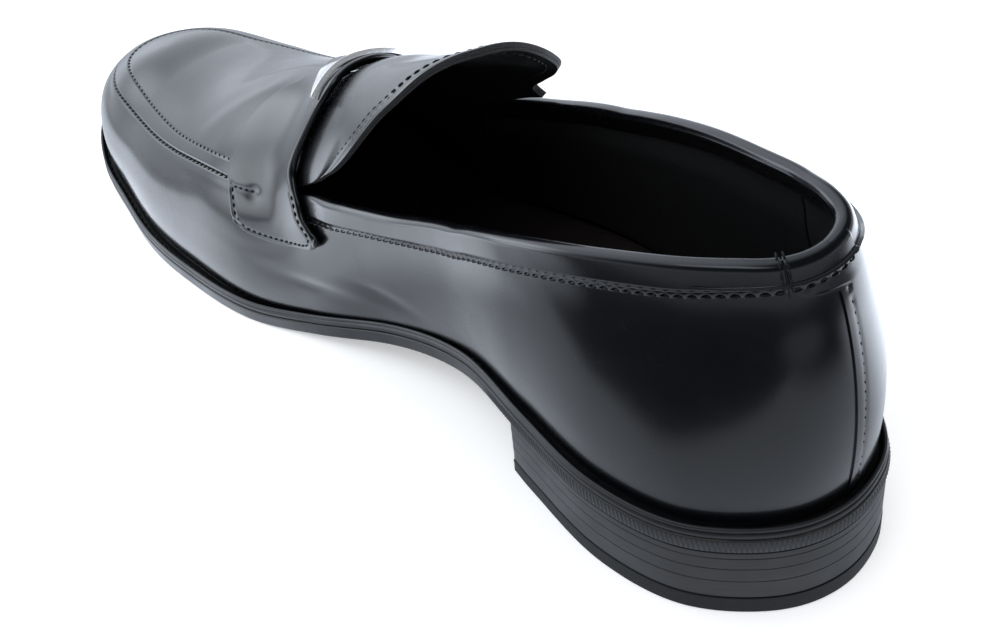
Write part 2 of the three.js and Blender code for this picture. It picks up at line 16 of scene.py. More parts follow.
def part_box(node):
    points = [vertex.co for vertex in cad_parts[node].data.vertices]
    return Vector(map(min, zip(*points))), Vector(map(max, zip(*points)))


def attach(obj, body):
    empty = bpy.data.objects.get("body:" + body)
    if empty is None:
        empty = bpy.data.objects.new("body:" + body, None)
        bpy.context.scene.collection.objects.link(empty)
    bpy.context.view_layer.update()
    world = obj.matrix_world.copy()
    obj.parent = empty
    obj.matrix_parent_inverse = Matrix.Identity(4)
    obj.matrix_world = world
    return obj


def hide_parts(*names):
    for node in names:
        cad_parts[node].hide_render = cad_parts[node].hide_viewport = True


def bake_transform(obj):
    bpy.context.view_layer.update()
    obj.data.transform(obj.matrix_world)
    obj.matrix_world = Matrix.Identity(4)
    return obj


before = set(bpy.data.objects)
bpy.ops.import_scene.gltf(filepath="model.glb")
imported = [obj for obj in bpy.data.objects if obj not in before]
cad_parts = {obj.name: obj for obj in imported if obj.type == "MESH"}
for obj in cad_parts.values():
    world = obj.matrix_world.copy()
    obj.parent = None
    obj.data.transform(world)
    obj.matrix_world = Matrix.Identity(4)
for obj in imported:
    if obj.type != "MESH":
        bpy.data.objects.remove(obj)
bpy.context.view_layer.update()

# ---- Driving dimensions ------------------------------------------
DESIGN_LENGTH = 301.6
sole_low, sole_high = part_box("outsole")
MM = (sole_high.x - sole_low.x) / DESIGN_LENGTH

HEEL_RISE = 21.3
TOP_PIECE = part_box("heel_top_piece")[1].z / MM
HEEL_SEAT_X = 37.0
BALL_X = 145.5
SPRING_X = 182.0
TOE_SPRING = 12.2
BREAST_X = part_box("heel_top_piece")[1].x / MM
BREAST_LEAN = 3.5
LIFT_SEAMS = [TOP_PIECE, 11.4, 15.7, 19.4]
OUTSOLE = 4.2
WELT = 1.8
FOOT_RISE = 1.0

OUTLINE = [
    (-33.6, 0), (-31, 10.9), (-24, 20.5), (-10, 30.2), (10, 33.6), (36, 30.1), (64, 24.4), (92, 25.5),
    (120, 33.2), (148, 41.7), (174, 44), (198, 43.6), (220, 39.7), (241, 34.6), (258, 24.4), (266.4, 11.8),
    (268.2, 0), (265, -11.2), (256, -22.7), (240, -33.8), (220, -41.9), (198, -47.3), (174, -49.4),
    (148, -47.1), (120, -40.9), (92, -38.4), (64, -36.1), (36, -33.9), (10, -32.4), (-10, -29),
    (-24, -20.9), (-31, -12.7),
]
TOE_TIP = 268.2
HEEL_BACK = -33.6

STATION = [-34, -10, 37, 90, 127, 164, 206, 243, 268]
INSET = [2.9, 2.9, 2.5, 1.5, 2, 3, 3.4, 3.4, 3.2]
BULGE = [4.7, 0, 3.5, 4.1, 1.5, 1.1, 1.5, 1.3, 0.2]
RISE = [0.42, 0.34, 0.43, 0.5, 0.35, 0.45, 0.5, 0.57, 0.59]
REACH = [0.9, 0.74, 0.87, 0.77, 0.44, 0.54, 0.64, 0.65, 0.61]
RIDGE_X = [-10, 58, 100, 127, 153, 185, 211, 230, 243]
RIDGE_Z = [103, 97, 83.8, 67, 59.5, 48.6, 44.4, 43.7, 40]
RIDGE_BACK = 0.0
RIDGE_FRONT = 231.5

EDGE_X = [-34, -20, -3, 15, 38, 48, 57, 76, 90, 104, 120, 140, 153, 206, 243, 268]
EDGE_V = [0.627, 0.643, 0.63, 0.586, 0.495, 0.4515, 0.413, 0.371, 0.372, 0.405, 0.47, 0.472, 0.487,
          0.559, 0.572, 0.6]
LATERAL_X = [-34, -20, -10, 5, 15, 25, 38, 48, 57, 66, 76, 90, 104, 120]
LATERAL_RISE = [0, -0.003, -0.014, -0.022, -0.022, -0.017, -0.0105, -0.004, 0.006, 0.0125, 0.0145,
                0.009, 0, 0]
WHIP_X = [110, 153, 180, 206, 243, 268]
WHIP_V = [0.53, 0.549, 0.594, 0.655, 0.713, 0.714]
TONGUE_W = [-0.61, -0.585, -0.552, -0.514, -0.465, -0.403, -0.338, -0.25, -0.1, 0, 0.085, 0.18, 0.264,
            0.331, 0.404, 0.458, 0.485, 0.493, 0.4955]
TONGUE_X = [84, 86.6, 87.4, 81.1, 73.9, 69, 66.8, 65, 64.8, 66.2, 70.2, 75.8, 81, 86.8, 93, 98.8, 103.5,
            107, 113]
TONGUE_ROOT_X = 134.0
APRON_REAR_X = 131.0
RISE_MM = 90.0
STRAP_FRONT_W = [0, 0.07, 0.13, 0.2, 0.27, 0.335, 0.41, 0.48, 0.535, 0.58, 0.65, 0.675, 0.7, 0.72]
STRAP_FRONT_X = [139, 141, 145, 148.5, 150.8, 152, 152.4, 152, 150.6, 149.2, 147, 144.4, 139, 132]
STRAP_REAR_W = [0, 0.1, 0.2, 0.27, 0.32, 0.38, 0.44, 0.5, 0.55, 0.6, 0.65, 0.68, 0.7, 0.72]
STRAP_REAR_X = [118.5, 118, 119, 121, 122.6, 124.4, 125, 122.8, 120.2, 118, 114.6, 112.4, 111.4, 111]
STRAP_END_T = [0, 0.03, 0.08, 0.2, 0.4, 0.62, 0.81, 0.93, 1]
STRAP_END = [0.69, 0.704, 0.713, 0.716, 0.703, 0.692, 0.684, 0.674, 0.655]
BAND_X = [-32, -19, -4, 19, 38, 57, 68, 78, 88, 98, 114, 130]
BAND_DROP = [0.064, 0.072, 0.079, 0.081, 0.083, 0.0845, 0.083, 0.0775, 0.0765, 0.0795, 0.085, 0.088]


# ---- Curves ------------------------------------------------------
def through(xs, ys):
    """Smooth curve y(x) through a table of points, for arrays of x."""
    xs, ys = np.array(xs, float), np.array(ys, float)
    after = np.minimum(np.arange(len(xs)) + 1, len(xs) - 1)
    before = np.maximum(np.arange(len(xs)) - 1, 0)
    slope = (ys[after] - ys[before]) / (xs[after] - xs[before])

    def curve(x):
        i = np.clip(np.searchsorted(xs, x) - 1, 0, len(xs) - 2)
        h = xs[i + 1] - xs[i]
        t = np.clip((x - xs[i]) / h, 0, 1)
        s = t * t * (3 - 2 * t)
        bend = h * t * (1 - t) * ((1 - t) * slope[i] - t * slope[i + 1])
        return ys[i] * (1 - s) + ys[i + 1] * s + bend
    return curve


inset_at, bulge_at, rise_at, reach_at = (through(STATION, t) for t in (INSET, BULGE, RISE, REACH))
ridge_z = through(RIDGE_X, RIDGE_Z)
ridge_y = through([0, 100, 150, 222, 268], [0, 0, 1, 1.5, 1.5])
edge_v = through(EDGE_X, EDGE_V)
lateral_rise = through(LATERAL_X, LATERAL_RISE)
whip_v = through(WHIP_X, WHIP_V)
tongue_rear = through(TONGUE_W, TONGUE_X)
strap_front = through(STRAP_FRONT_W, STRAP_FRONT_X)
strap_rear = through(STRAP_REAR_W, STRAP_REAR_X)
strap_end = through(STRAP_END_T, STRAP_END)
band_drop = through(BAND_X, BAND_DROP)


def smooth(a, b, x):
    """0 at a and 1 at b, smooth between; a may be the larger."""
    t = np.clip((x - a) / (b - a), 0, 1)
    return t * t * (3 - 2 * t)


def bump(x, width):
    """1 at x = 0, falling to 0 within about two widths."""
    return np.exp(-(x / width) ** 2)


def length_along(line):
    """Length from the start of a line of points to each of them."""
    return np.r_[0, np.cumsum(np.linalg.norm(np.diff(line, axis=0), axis=1))]


def sole_z(x):
    """Underside of the outsole above the floor."""
    toe = TOE_SPRING * (np.maximum(x - SPRING_X, 0) / (TOE_TIP - SPRING_X)) ** 1.8
    return toe + HEEL_RISE * smooth(BALL_X, HEEL_SEAT_X, x)


def closed_spline(points, n):
    """Closed centripetal Catmull-Rom curve through points, as n points spaced evenly along it."""
    p = np.array(points, float)
    fine = 60
    s = np.arange(len(p) * fine) / fine
    i = s.astype(int)
    w = (s - i)[:, None]
    p0, p1, p2, p3 = (p[(i + k) % len(p)] for k in (-1, 0, 1, 2))
    d0, d1, d2 = (np.sum((a - b) ** 2, 1)[:, None] ** 0.25 for a, b in ((p0, p1), (p1, p2), (p2, p3)))
    t1 = ((p1 - p0) / d0 - (p2 - p0) / (d0 + d1) + (p2 - p1) / d1) * d1
    t2 = ((p2 - p1) / d1 - (p3 - p1) / (d1 + d2) + (p3 - p2) / d2) * d1
    c = p1 + t1 * w + (-3 * p1 + 3 * p2 - 2 * t1 - t2) * w ** 2 + (2 * p1 - 2 * p2 + t1 + t2) * w ** 3
    loop = np.vstack([c, c[:1]])
    length = length_along(loop)
    at = np.linspace(0, length[-1], n, endpoint=False)
    return np.stack([np.interp(at, length, loop[:, k]) for k in range(2)], -1)


OUTLINE_STEPS = 2880
outline = closed_spline(OUTLINE, OUTLINE_STEPS)
tangent = np.roll(outline, -8, 0) - np.roll(outline, 8, 0)
outward = np.stack([-tangent[:, 1], tangent[:, 0]], -1)
outward /= np.linalg.norm(outward, axis=1)[:, None]
OUTLINE_LENGTH = np.linalg.norm(np.roll(outline, -1, 0) - outline, axis=1).sum()
TOE_INDEX = int(outline[:, 0].argmax())
TOE_U = TOE_INDEX / OUTLINE_STEPS


def outline_at(u):
    """x, y of the outline and its outward normal."""
    s = np.mod(u, 1.0) * OUTLINE_STEPS
    i = np.floor(s).astype(int)
    t = (s - i)[..., None]
    a, b = i % OUTLINE_STEPS, (i + 1) % OUTLINE_STEPS
    return outline[a] * (1 - t) + outline[b] * t, outward[a] * (1 - t) + outward[b] * t


foot_x = outline[:, 0] - outward[:, 0] * inset_at(outline[:, 0])


def u_at(x, side):
    """Place on the outline whose section stands at x; side is +1 for medial, -1 for lateral."""
    x = np.asarray(x, float)
    medial = np.arange(0, TOE_INDEX + 1)
    lateral = np.arange(OUTLINE_STEPS, TOE_INDEX - 1, -1)
    on_medial = np.interp(x, foot_x[medial], medial / OUTLINE_STEPS)
    on_lateral = np.interp(x, foot_x[lateral % OUTLINE_STEPS], lateral / OUTLINE_STEPS)
    return np.where(np.asarray(side) > 0, on_medial, on_lateral)


# ---- The foot shape ----------------------------------------------
def fan_x(x):
    """x of the ridge point that a section from x runs up to; all toe sections meet in one point."""
    soft = 10.0
    ramp = lambda t: soft * np.logaddexp(0, t / soft)
    return RIDGE_BACK + ramp(x - RIDGE_BACK) - ramp(x - RIDGE_FRONT)


def body(u, v):
    """Point of the foot shape at (u, v)."""
    u, v = np.broadcast_arrays(np.asarray(u, float), np.asarray(v, float))
    o, n = outline_at(u)
    inset = inset_at(o[..., 0])
    fx, fy = o[..., 0] - n[..., 0] * inset, o[..., 1] - n[..., 1] * inset
    bulge, reach = bulge_at(fx), reach_at(fx)
    fz = sole_z(fx) + OUTSOLE + WELT + FOOT_RISE
    rx = fan_x(fx)
    ry, rz = ridge_y(rx), ridge_z(rx)
    slope = (ridge_z(rx + 1) - ridge_z(rx - 1)) / 2
    dx, dy = (fx - rx) * reach, (fy - ry) * reach
    foot = np.stack([fx, fy, fz], -1)
    lower = foot + np.stack([n[..., 0] * bulge, n[..., 1] * bulge, (rz - fz) * rise_at(fx)], -1)
    ridge = np.stack([rx, ry, rz], -1)
    upper = ridge + np.stack([dx, dy, slope * dx], -1)
    v = v[..., None]
    return (foot * (1 - v) ** 3 + 3 * lower * v * (1 - v) ** 2 + 3 * upper * v ** 2 * (1 - v)
            + ridge * v ** 3)


def section_x(u):
    """x of the foot shape's lower edge at u."""
    return body(u, 0.0)[..., 0]


def normal(u, v):
    """Outward direction of the foot shape; near the ridge it turns into the ridge's own."""
    at = np.minimum(v, 0.97)
    du = body(u + 0.001, at) - body(u - 0.001, at)
    dv = body(u, at + 0.005) - body(u, at - 0.005)
    side = np.cross(dv, du)
    side /= np.linalg.norm(side, axis=-1)[..., None]
    rx = fan_x(section_x(u))
    top = np.stack([ridge_z(rx - 1) - ridge_z(rx + 1), np.zeros_like(rx), np.full_like(rx, 2.0)], -1)
    top /= np.linalg.norm(top, axis=-1)[..., None]
    share = smooth(0.95, 1.0, v)[..., None]
    mixed = side * (1 - share) + top * share
    return mixed / np.linalg.norm(mixed, axis=-1)[..., None]


def skin(u, v, out=0.0):
    """Point at a distance outside the foot shape."""
    u, v, out = np.broadcast_arrays(np.asarray(u, float), np.asarray(v, float), np.asarray(out, float))
    return body(u, v) + normal(u, v) * out[..., None]


def top_edge(u):
    """v of the wall's top edge; the lateral side dips a little more behind the arch."""
    x = section_x(u)
    lateral = (np.asarray(u) % 1.0) > TOE_U
    return edge_v(x) + lateral_rise(np.clip(x, LATERAL_X[0], LATERAL_X[-1])) * lateral


def across_uv(x, w):
    """(u, v) of a place in the section at x; w is -1 at the lateral edge, 0 on the ridge, 1 medial."""
    x, w = np.broadcast_arrays(np.asarray(x, float), np.asarray(w, float))
    return u_at(x, np.where(w < 0, -1, 1)), 1 - np.abs(w)


def across(x, w, out=0.0):
    """Point at a distance outside the foot shape, in the section at x."""
    u, v = across_uv(x, w)
    return skin(u, v, out)


def rise_rate(u, v):
    """Millimetres along the section for a step of 1 in v."""
    return np.linalg.norm(body(u, v + 0.01) - body(u, v - 0.01), axis=-1) / 0.02


# ---- Meshes ------------------------------------------------------
def new_piece(name, points, faces, material):
    mesh = bpy.data.meshes.new(name)
    mesh.from_pydata((np.asarray(points).reshape(-1, 3) * MM).tolist(), [], faces)
    mesh.materials.append(material)
    mesh.validate()
    mesh.shade_smooth()
    piece = bpy.data.objects.new(name, mesh)
    bpy.context.scene.collection.objects.link(piece)
    return piece


def quads(rows, cols, ring=False, first=0):
    """Faces of a grid of points; with ring, the last row joins the first."""
    i, j = np.meshgrid(np.arange(rows if ring else rows - 1), np.arange(cols - 1), indexing="ij")
    a = i * cols + j
    b = ((i + 1) % rows) * cols + j
    return (np.stack([a, b, b + 1, a + 1], -1).reshape(-1, 4) + first).tolist()


def sheet(name, outer, inner, material, weld=0.0, bevel=0.0, open_top=False, edge=None, painted_highlight_columns=0):
    """Closed sheet between an outer and an inner grid of points.

    weld joins points closer than that distance, open_top leaves out the side at the last column, edge is
    the material of the sides, and a number of last columns outside get the lighter cut-edge colour as a
    painted highlight line."""
    rows, cols = outer.shape[:2]
    count = rows * cols
    points = np.concatenate([outer.reshape(-1, 3), inner.reshape(-1, 3)])
    faces = quads(rows, cols)
    faces += [[d, c, b, a] for a, b, c, d in quads(rows, cols, first=count)]
    sides_from = len(faces)
    for i in range(rows - 1):
        a, b = i * cols, (i + 1) * cols
        faces.append([b, a, a + count, b + count])
        if not open_top:
            a, b = a + cols - 1, b + cols - 1
            faces.append([a, b, b + count, a + count])
    for j in range(cols - 1):
        a = (rows - 1) * cols + j
        faces.append([j, j + 1, j + 1 + count, j + count])
        faces.append([a + 1, a, a + count, a + 1 + count])
    piece = new_piece(name, points, faces, material)
    if edge is not None:
        piece.data.materials.append(edge)
        for polygon in piece.data.polygons:
            polygon.material_index = int(polygon.index >= sides_from)
    # Painted highlight: the last columns of the outer face take the lighter cut-edge colour, a light strip
    # that stands in for a reflected light line.
    if painted_highlight_columns:
        piece.data.materials.append(RAW)
        outside = (rows - 1) * (cols - 1)
        for polygon in piece.data.polygons[:outside]:
            polygon.material_index = int(polygon.index % (cols - 1) >= cols - 1 - painted_highlight_columns)
    clean(piece, weld)
    if bevel:
        round_edges(piece, bevel)
    return piece


def clean(piece, weld=0.0):
    """Welds near points, drops faces with no area and turns the faces outwards."""
    bm = bmesh.new()
    bm.from_mesh(piece.data)
    bmesh.ops.remove_doubles(bm, verts=bm.verts, dist=max(weld, 0.002) * MM)
    bmesh.ops.dissolve_degenerate(bm, edges=bm.edges, dist=0.001 * MM)
    bmesh.ops.recalc_face_normals(bm, faces=bm.faces)
    bm.to_mesh(piece.data)
    bm.free()


def apply_modifiers(piece):
    graph = bpy.context.evaluated_depsgraph_get()
    piece.update_tag()
    bpy.context.view_layer.update()
    mesh = bpy.data.meshes.new_from_object(piece.evaluated_get(graph))
    piece.modifiers.clear()
    piece.data = mesh
    mesh.shade_smooth()


def round_edges(piece, width, segments=3, angle=40):
    bevel = piece.modifiers.new("round", "BEVEL")
    bevel.width = width * MM
    bevel.segments = segments
    bevel.limit_method = "ANGLE"
    bevel.angle_limit = math.radians(angle)
    bevel.use_clamp_overlap = True
    apply_modifiers(piece)


def done(piece, slot, *nodes, on="shoe"):
    """The piece rides on a body and stands for CAD nodes, which are hidden; slot is not used."""
    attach(piece, on)
    if nodes:
        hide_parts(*nodes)
    return piece


# ---- Materials ---------------------------------------------------
class Nodes:
    """Short way to build a tree of nodes for a material, a light or the world."""

    def __init__(self, owner):
        owner.use_nodes = True
        self.tree = owner.node_tree
        self.tree.nodes.clear()

    def link(self, a, b):
        self.tree.links.new(a, b)

    def node(self, kind, **settings):
        n = self.tree.nodes.new(kind)
        for key, value in settings.items():
            setattr(n, key, value)
        return n

    def value(self, socket, x):
        if hasattr(x, "links"):
            self.link(x, socket)
        else:
            socket.default_value = x

    def span(self, x, low, high, at_low=0.0, at_high=1.0, curve="LINEAR"):
        """at_low where x is low and at_high where x is high; low may be the larger."""
        n = self.node("ShaderNodeMapRange", interpolation_type=curve)
        self.value(n.inputs["Value"], x)
        for end, (place, level) in zip(("Min", "Max"), sorted(((low, at_low), (high, at_high)))):
            n.inputs[f"From {end}"].default_value = place
            n.inputs[f"To {end}"].default_value = level
        return n.outputs[0]

    def fade(self, x, low, high, at_low=0.0, at_high=1.0):
        return self.span(x, low, high, at_low, at_high, "SMOOTHSTEP")

    def math(self, operation, a, *others):
        """Joins two or more values by one operation."""
        for b in others:
            n = self.node("ShaderNodeMath", operation=operation)
            self.value(n.inputs[0], a)
            self.value(n.inputs[1], b)
            a = n.outputs[0]
        return a

    def vector_math(self, operation, vector, other):
        n = self.node("ShaderNodeVectorMath", operation=operation)
        self.link(vector, n.inputs[0])
        n.inputs[1].default_value = other
        return n.outputs["Value"]

    def axes(self, vector):
        n = self.node("ShaderNodeSeparateXYZ")
        self.link(vector, n.inputs[0])
        return n.outputs

    def mix(self, share, a, b):
        n = self.node("ShaderNodeMix", data_type="RGBA")
        self.value(n.inputs["Factor"], share)
        for key, colour in (("A", a), ("B", b)):
            socket = [s for s in n.inputs if s.name == key and s.type == "RGBA"][0]
            self.value(socket, colour if hasattr(colour, "links") else (*colour, 1))
        return [s for s in n.outputs if s.type == "RGBA"][0]


class Surface(Nodes):
    """Material whose patterns are set out in the object's own space."""

    def __init__(self, name):
        self.material = bpy.data.materials.new(name)
        super().__init__(self.material)
        self.shader = self.node("ShaderNodeBsdfPrincipled")
        self.link(self.shader.outputs[0], self.node("ShaderNodeOutputMaterial").inputs[0])
        self.place = self.node("ShaderNodeTexCoord").outputs["Object"]

    def stretch(self, x, y, z):
        n = self.node("ShaderNodeMapping")
        self.link(self.place, n.inputs["Vector"])
        n.inputs["Scale"].default_value = (x, y, z)
        return n.outputs[0]

    def noise(self, size_mm, detail=3.0, roughness=0.5, vector=None):
        n = self.node("ShaderNodeTexNoise")
        self.link(vector or self.place, n.inputs["Vector"])
        n.inputs["Scale"].default_value = 1 / (size_mm * MM)
        n.inputs["Detail"].default_value = detail
        n.inputs["Roughness"].default_value = roughness
        return n.outputs["Fac"]

    def cells(self, size_mm, feature="DISTANCE_TO_EDGE"):
        n = self.node("ShaderNodeTexVoronoi", feature=feature)
        self.link(self.place, n.inputs["Vector"])
        n.inputs["Scale"].default_value = 1 / (size_mm * MM)
        return n.outputs["Distance"]

    def tones(self, pattern, dark, light, low=0.3, high=0.7):
        """Colour that runs from dark to light with a pattern."""
        return self.mix(self.span(pattern, low, high), dark, light)

    def bump(self, height, depth_mm, strength=1.0, below=None):
        n = self.node("ShaderNodeBump")
        self.link(height, n.inputs["Height"])
        n.inputs["Distance"].default_value = depth_mm * MM
        n.inputs["Strength"].default_value = strength
        if below is not None:
            self.link(below, n.inputs["Normal"])
        return n.outputs[0]

    def finish(self, **inputs):
        for key, value in inputs.items():
            self.value(self.shader.inputs[key.replace("_", " ")], value)
        return self.material


def edge_wear(m):
    """Share of brighter, rubbed look where the surface turns sharply."""
    geometry = m.node("ShaderNodeNewGeometry")
    return m.span(geometry.outputs["Pointiness"], 0.51, 0.6)


def calf_leather():
    """Polished black box calf: faint tight grain under a thin gloss, slow waves in the surface."""
    m = Surface("black_box_calf")
    grain = m.noise(0.9, 5, 0.6)
    wave = m.noise(30, 2, 0.5)
    haze = m.noise(8, 4, 0.6)
    colour = m.tones(grain, (0.0016, 0.0018, 0.0026), (0.0026, 0.0029, 0.004))
    colour = m.mix(m.math("MULTIPLY", edge_wear(m), 0.3), colour, (0.010, 0.011, 0.014))
    rough = m.span(haze, 0.3, 0.7, 0.22, 0.29)
    low = m.bump(wave, 0.3, 0.5)
    top = m.bump(grain, 0.012, 0.35, low)
    return m.finish(
        Base_Color=colour, Roughness=rough, Normal=top, Specular_IOR_Level=0.25,
        Coat_Weight=0.45, Coat_Roughness=0.11, Coat_Normal=low)


def lining_leather():
    m = Surface("black_lining_leather")
    grain = m.noise(1.1, 5, 0.65)
    pores = m.cells(0.9)
    colour = m.tones(grain, (0.004, 0.004, 0.0046), (0.0075, 0.0072, 0.0074))
    rough = m.span(grain, 0.3, 0.7, 0.6, 0.72)
    return m.finish(
        Base_Color=colour, Roughness=rough, Normal=m.bump(pores, 0.04, 0.5), Specular_IOR_Level=0.25)


def sock_leather():
    m = Surface("black_sock_leather")
    grain = m.noise(1.3, 5, 0.65)
    patch = m.noise(40, 2, 0.5)
    colour = m.tones(patch, (0.0055, 0.0048, 0.0048), (0.016, 0.011, 0.0095), 0.35, 0.7)
    return m.finish(
        Base_Color=colour, Roughness=m.span(grain, 0.3, 0.7, 0.5, 0.62), Normal=m.bump(grain, 0.05, 0.5),
        Specular_IOR_Level=0.3)


def raw_edge():
    """Cut leather edge: rough fibres, dark grey."""
    m = Surface("cut_leather_edge")
    fibre = m.noise(0.35, 6, 0.7)
    colour = m.tones(fibre, (0.009, 0.0095, 0.011), (0.04, 0.041, 0.044), 0.35, 0.65)
    return m.finish(Base_Color=colour, Roughness=0.7, Normal=m.bump(fibre, 0.25, 0.9), Specular_IOR_Level=0.3)


def sole_edge():
    """Black stained and waxed leather edge, with the layers' fibres running along it."""
    m = Surface("waxed_sole_edge")
    fibre = m.noise(1.2, 5, 0.65, m.stretch(0.25, 0.25, 3.0))
    haze = m.noise(9, 3, 0.6)
    colour = m.tones(fibre, (0.0045, 0.0046, 0.0055), (0.0095, 0.0096, 0.011), 0.35, 0.65)
    colour = m.mix(m.math("MULTIPLY", edge_wear(m), 0.6), colour, (0.025, 0.026, 0.03))
    rough = m.span(haze, 0.3, 0.7, 0.34, 0.46)
    return m.finish(
        Base_Color=colour, Roughness=rough, Normal=m.bump(fibre, 0.04, 0.5), Specular_IOR_Level=0.4)


def heel_stack():
    """Pressed and dyed heel lifts: dull black, a little warm, with fine layering."""
    m = Surface("dyed_heel_stack")
    layers = m.noise(2.2, 6, 0.7, m.stretch(0.12, 0.12, 5.0))
    patch = m.noise(14, 3, 0.6)
    colour = m.tones(layers, (0.0075, 0.0075, 0.0082), (0.015, 0.0145, 0.0155), 0.35, 0.65)
    rough = m.span(patch, 0.3, 0.7, 0.36, 0.48)
    return m.finish(
        Base_Color=colour, Roughness=rough, Normal=m.bump(layers, 0.05, 0.6), Specular_IOR_Level=0.4)


def sole_underside():
    """Worn tread side of the outsole: smooth leather with faint scuffs."""
    m = Surface("sole_underside")
    scuff = m.noise(3, 6, 0.7, m.stretch(0.15, 1.0, 1.0))
    colour = m.tones(scuff, (0.014, 0.0135, 0.013), (0.035, 0.032, 0.03), 0.4, 0.65)
    rough = m.span(scuff, 0.3, 0.7, 0.42, 0.6)
    return m.finish(Base_Color=colour, Roughness=rough, Normal=m.bump(scuff, 0.06, 0.5))


def rubber():
    m = Surface("black_rubber")
    speck = m.noise(0.6, 4, 0.6)
    colour = m.tones(speck, (0.0022, 0.0022, 0.0026), (0.0045, 0.0045, 0.005))
    rough = m.span(speck, 0.3, 0.7, 0.5, 0.62)
    return m.finish(
        Base_Color=colour, Roughness=rough, Normal=m.bump(speck, 0.03, 0.5), Specular_IOR_Level=0.25)


def polished_metal():
    m = Surface("polished_plate")
    brushed = m.noise(0.9, 4, 0.6, m.stretch(4.0, 0.3, 1.0))
    colour = m.tones(brushed, (0.72, 0.73, 0.75), (0.84, 0.85, 0.87))
    return m.finish(
        Base_Color=colour, Metallic=0.55, Roughness=m.span(brushed, 0.3, 0.7, 0.2, 0.3),
        Normal=m.bump(brushed, 0.003, 0.4))


def waxed_thread():
    m = Surface("waxed_black_thread")
    twist = m.noise(0.22, 3, 0.5)
    colour = m.tones(twist, (0.0025, 0.0025, 0.003), (0.009, 0.009, 0.0095), 0.35, 0.65)
    return m.finish(
        Base_Color=colour, Roughness=0.55, Normal=m.bump(twist, 0.06, 0.8), Specular_IOR_Level=0.3)


def plain_steel():
    m = Surface("plain_steel")
    mill = m.noise(1.0, 4, 0.6, m.stretch(0.2, 2.0, 2.0))
    colour = m.tones(mill, (0.35, 0.36, 0.38), (0.5, 0.51, 0.53))
    return m.finish(Base_Color=colour, Metallic=1.0, Roughness=m.span(mill, 0.3, 0.7, 0.3, 0.42))


def fibre_board():
    m = Surface("insole_board")
    fibre = m.noise(1.2, 6, 0.7)
    colour = m.tones(fibre, (0.3, 0.19, 0.1), (0.48, 0.33, 0.2), 0.35, 0.65)
    return m.finish(Base_Color=colour, Roughness=0.85, Normal=m.bump(fibre, 0.15, 0.6))


def ground_cork():
    m = Surface("ground_cork")
    chip = m.cells(1.8, "F1")
    colour = m.tones(chip, (0.5, 0.31, 0.15), (0.22, 0.12, 0.05), 0.1, 0.6)
    return m.finish(Base_Color=colour, Roughness=0.95, Normal=m.bump(chip, 0.3, 0.7))


def stiff_cloth():
    m = Surface("stiffened_cloth")
    weave = m.cells(0.8, "F1")
    colour = m.tones(weave, (0.6, 0.55, 0.46), (0.4, 0.36, 0.3), 0.1, 0.6)
    return m.finish(Base_Color=colour, Roughness=0.9, Normal=m.bump(weave, 0.12, 0.6))


CALF = calf_leather()
LINING = lining_leather()
SOCK = sock_leather()
RAW = raw_edge()
EDGE = sole_edge()
STACK = heel_stack()
TREAD = sole_underside()
RUBBER = rubber()
METAL = polished_metal()
THREAD = waxed_thread()
STEEL = plain_steel()
BOARD = fibre_board()
CORK = ground_cork()
STIFF = stiff_cloth()


# ---- Upper -------------------------------------------------------
UPPER = 1.4
BACK_SEAM_U = 0.0025
BACK_STITCH_U = 0.9987
LAP = 0.36
TAB_U = 0.0176
TAB_V = (0.531, 0.556)
COLLAR_FRONT_X = 127.0
SEAM_PITCH = 2.2
SEAM_GAP_V = 0.003
# Each crease runs between two places (x, v) and has a depth in mm and a width in v.
WAIST_CREASES = [
    ((127, 0.17), (108, 0.10), 0.75, 0.026),
    ((103, 0.14), (84, 0.075), 0.6, 0.024),
    ((140, 0.2), (120, 0.12), 0.2, 0.034),
]


def graded(*parts):
    """Stations from parts of (from, to, count), each end used once."""
    values = [parts[0][0]]
    for a, b, n in parts:
        values += list(np.linspace(a, b, n + 1)[1:])
    return np.array(values)


def waist_creases(u, v):
    """Soft dents along lines of the medial side, where the foot bends."""
    x = section_x(u)
    medial = smooth(0.5, 0.48, np.mod(u, 1.0))
    dents = 0.0
    for (x_from, v_from), (x_to, v_to), depth, width_v in WAIST_CREASES:
        t = np.clip((x - x_from) / (x_to - x_from), -0.6, 1.6)
        line = v_from + (v_to - v_from) * t
        dents = dents - depth * medial * bump(t - 0.5, 0.55) * bump(v - line, width_v)
    return dents


def lap_relief(u):
    """The lateral quarter lies over the medial one at the back seam."""
    return LAP * smooth(0.975, 0.998, u)


def lap_under(u):
    """Height of the lap under a collar band, whose places u are negative on the lateral side."""
    return lap_relief(np.where(u < -0.01, u + 1, 1.0))


def wall_relief(u, v):
    """Height of the wall leather over the foot shape: seams, creases and the lap at the back seam."""
    rate = rise_rate(u, np.clip(v, 0.02, 0.96))
    to_edge = (top_edge(u) - v) * rate
    front = smooth(120, 128, section_x(u))
    seam = -0.4 * bump(to_edge, 0.45) * front
    swell = 0.12 * bump(to_edge - 2.2, 1.6) * front
    ticks = 0.5 + 0.5 * np.sin(2 * math.pi * v * rate / SEAM_PITCH)
    stitched = -0.16 * bump(u - BACK_STITCH_U, 0.0011) * ticks
    return seam + swell + lap_relief(u) + stitched + waist_creases(u, v)


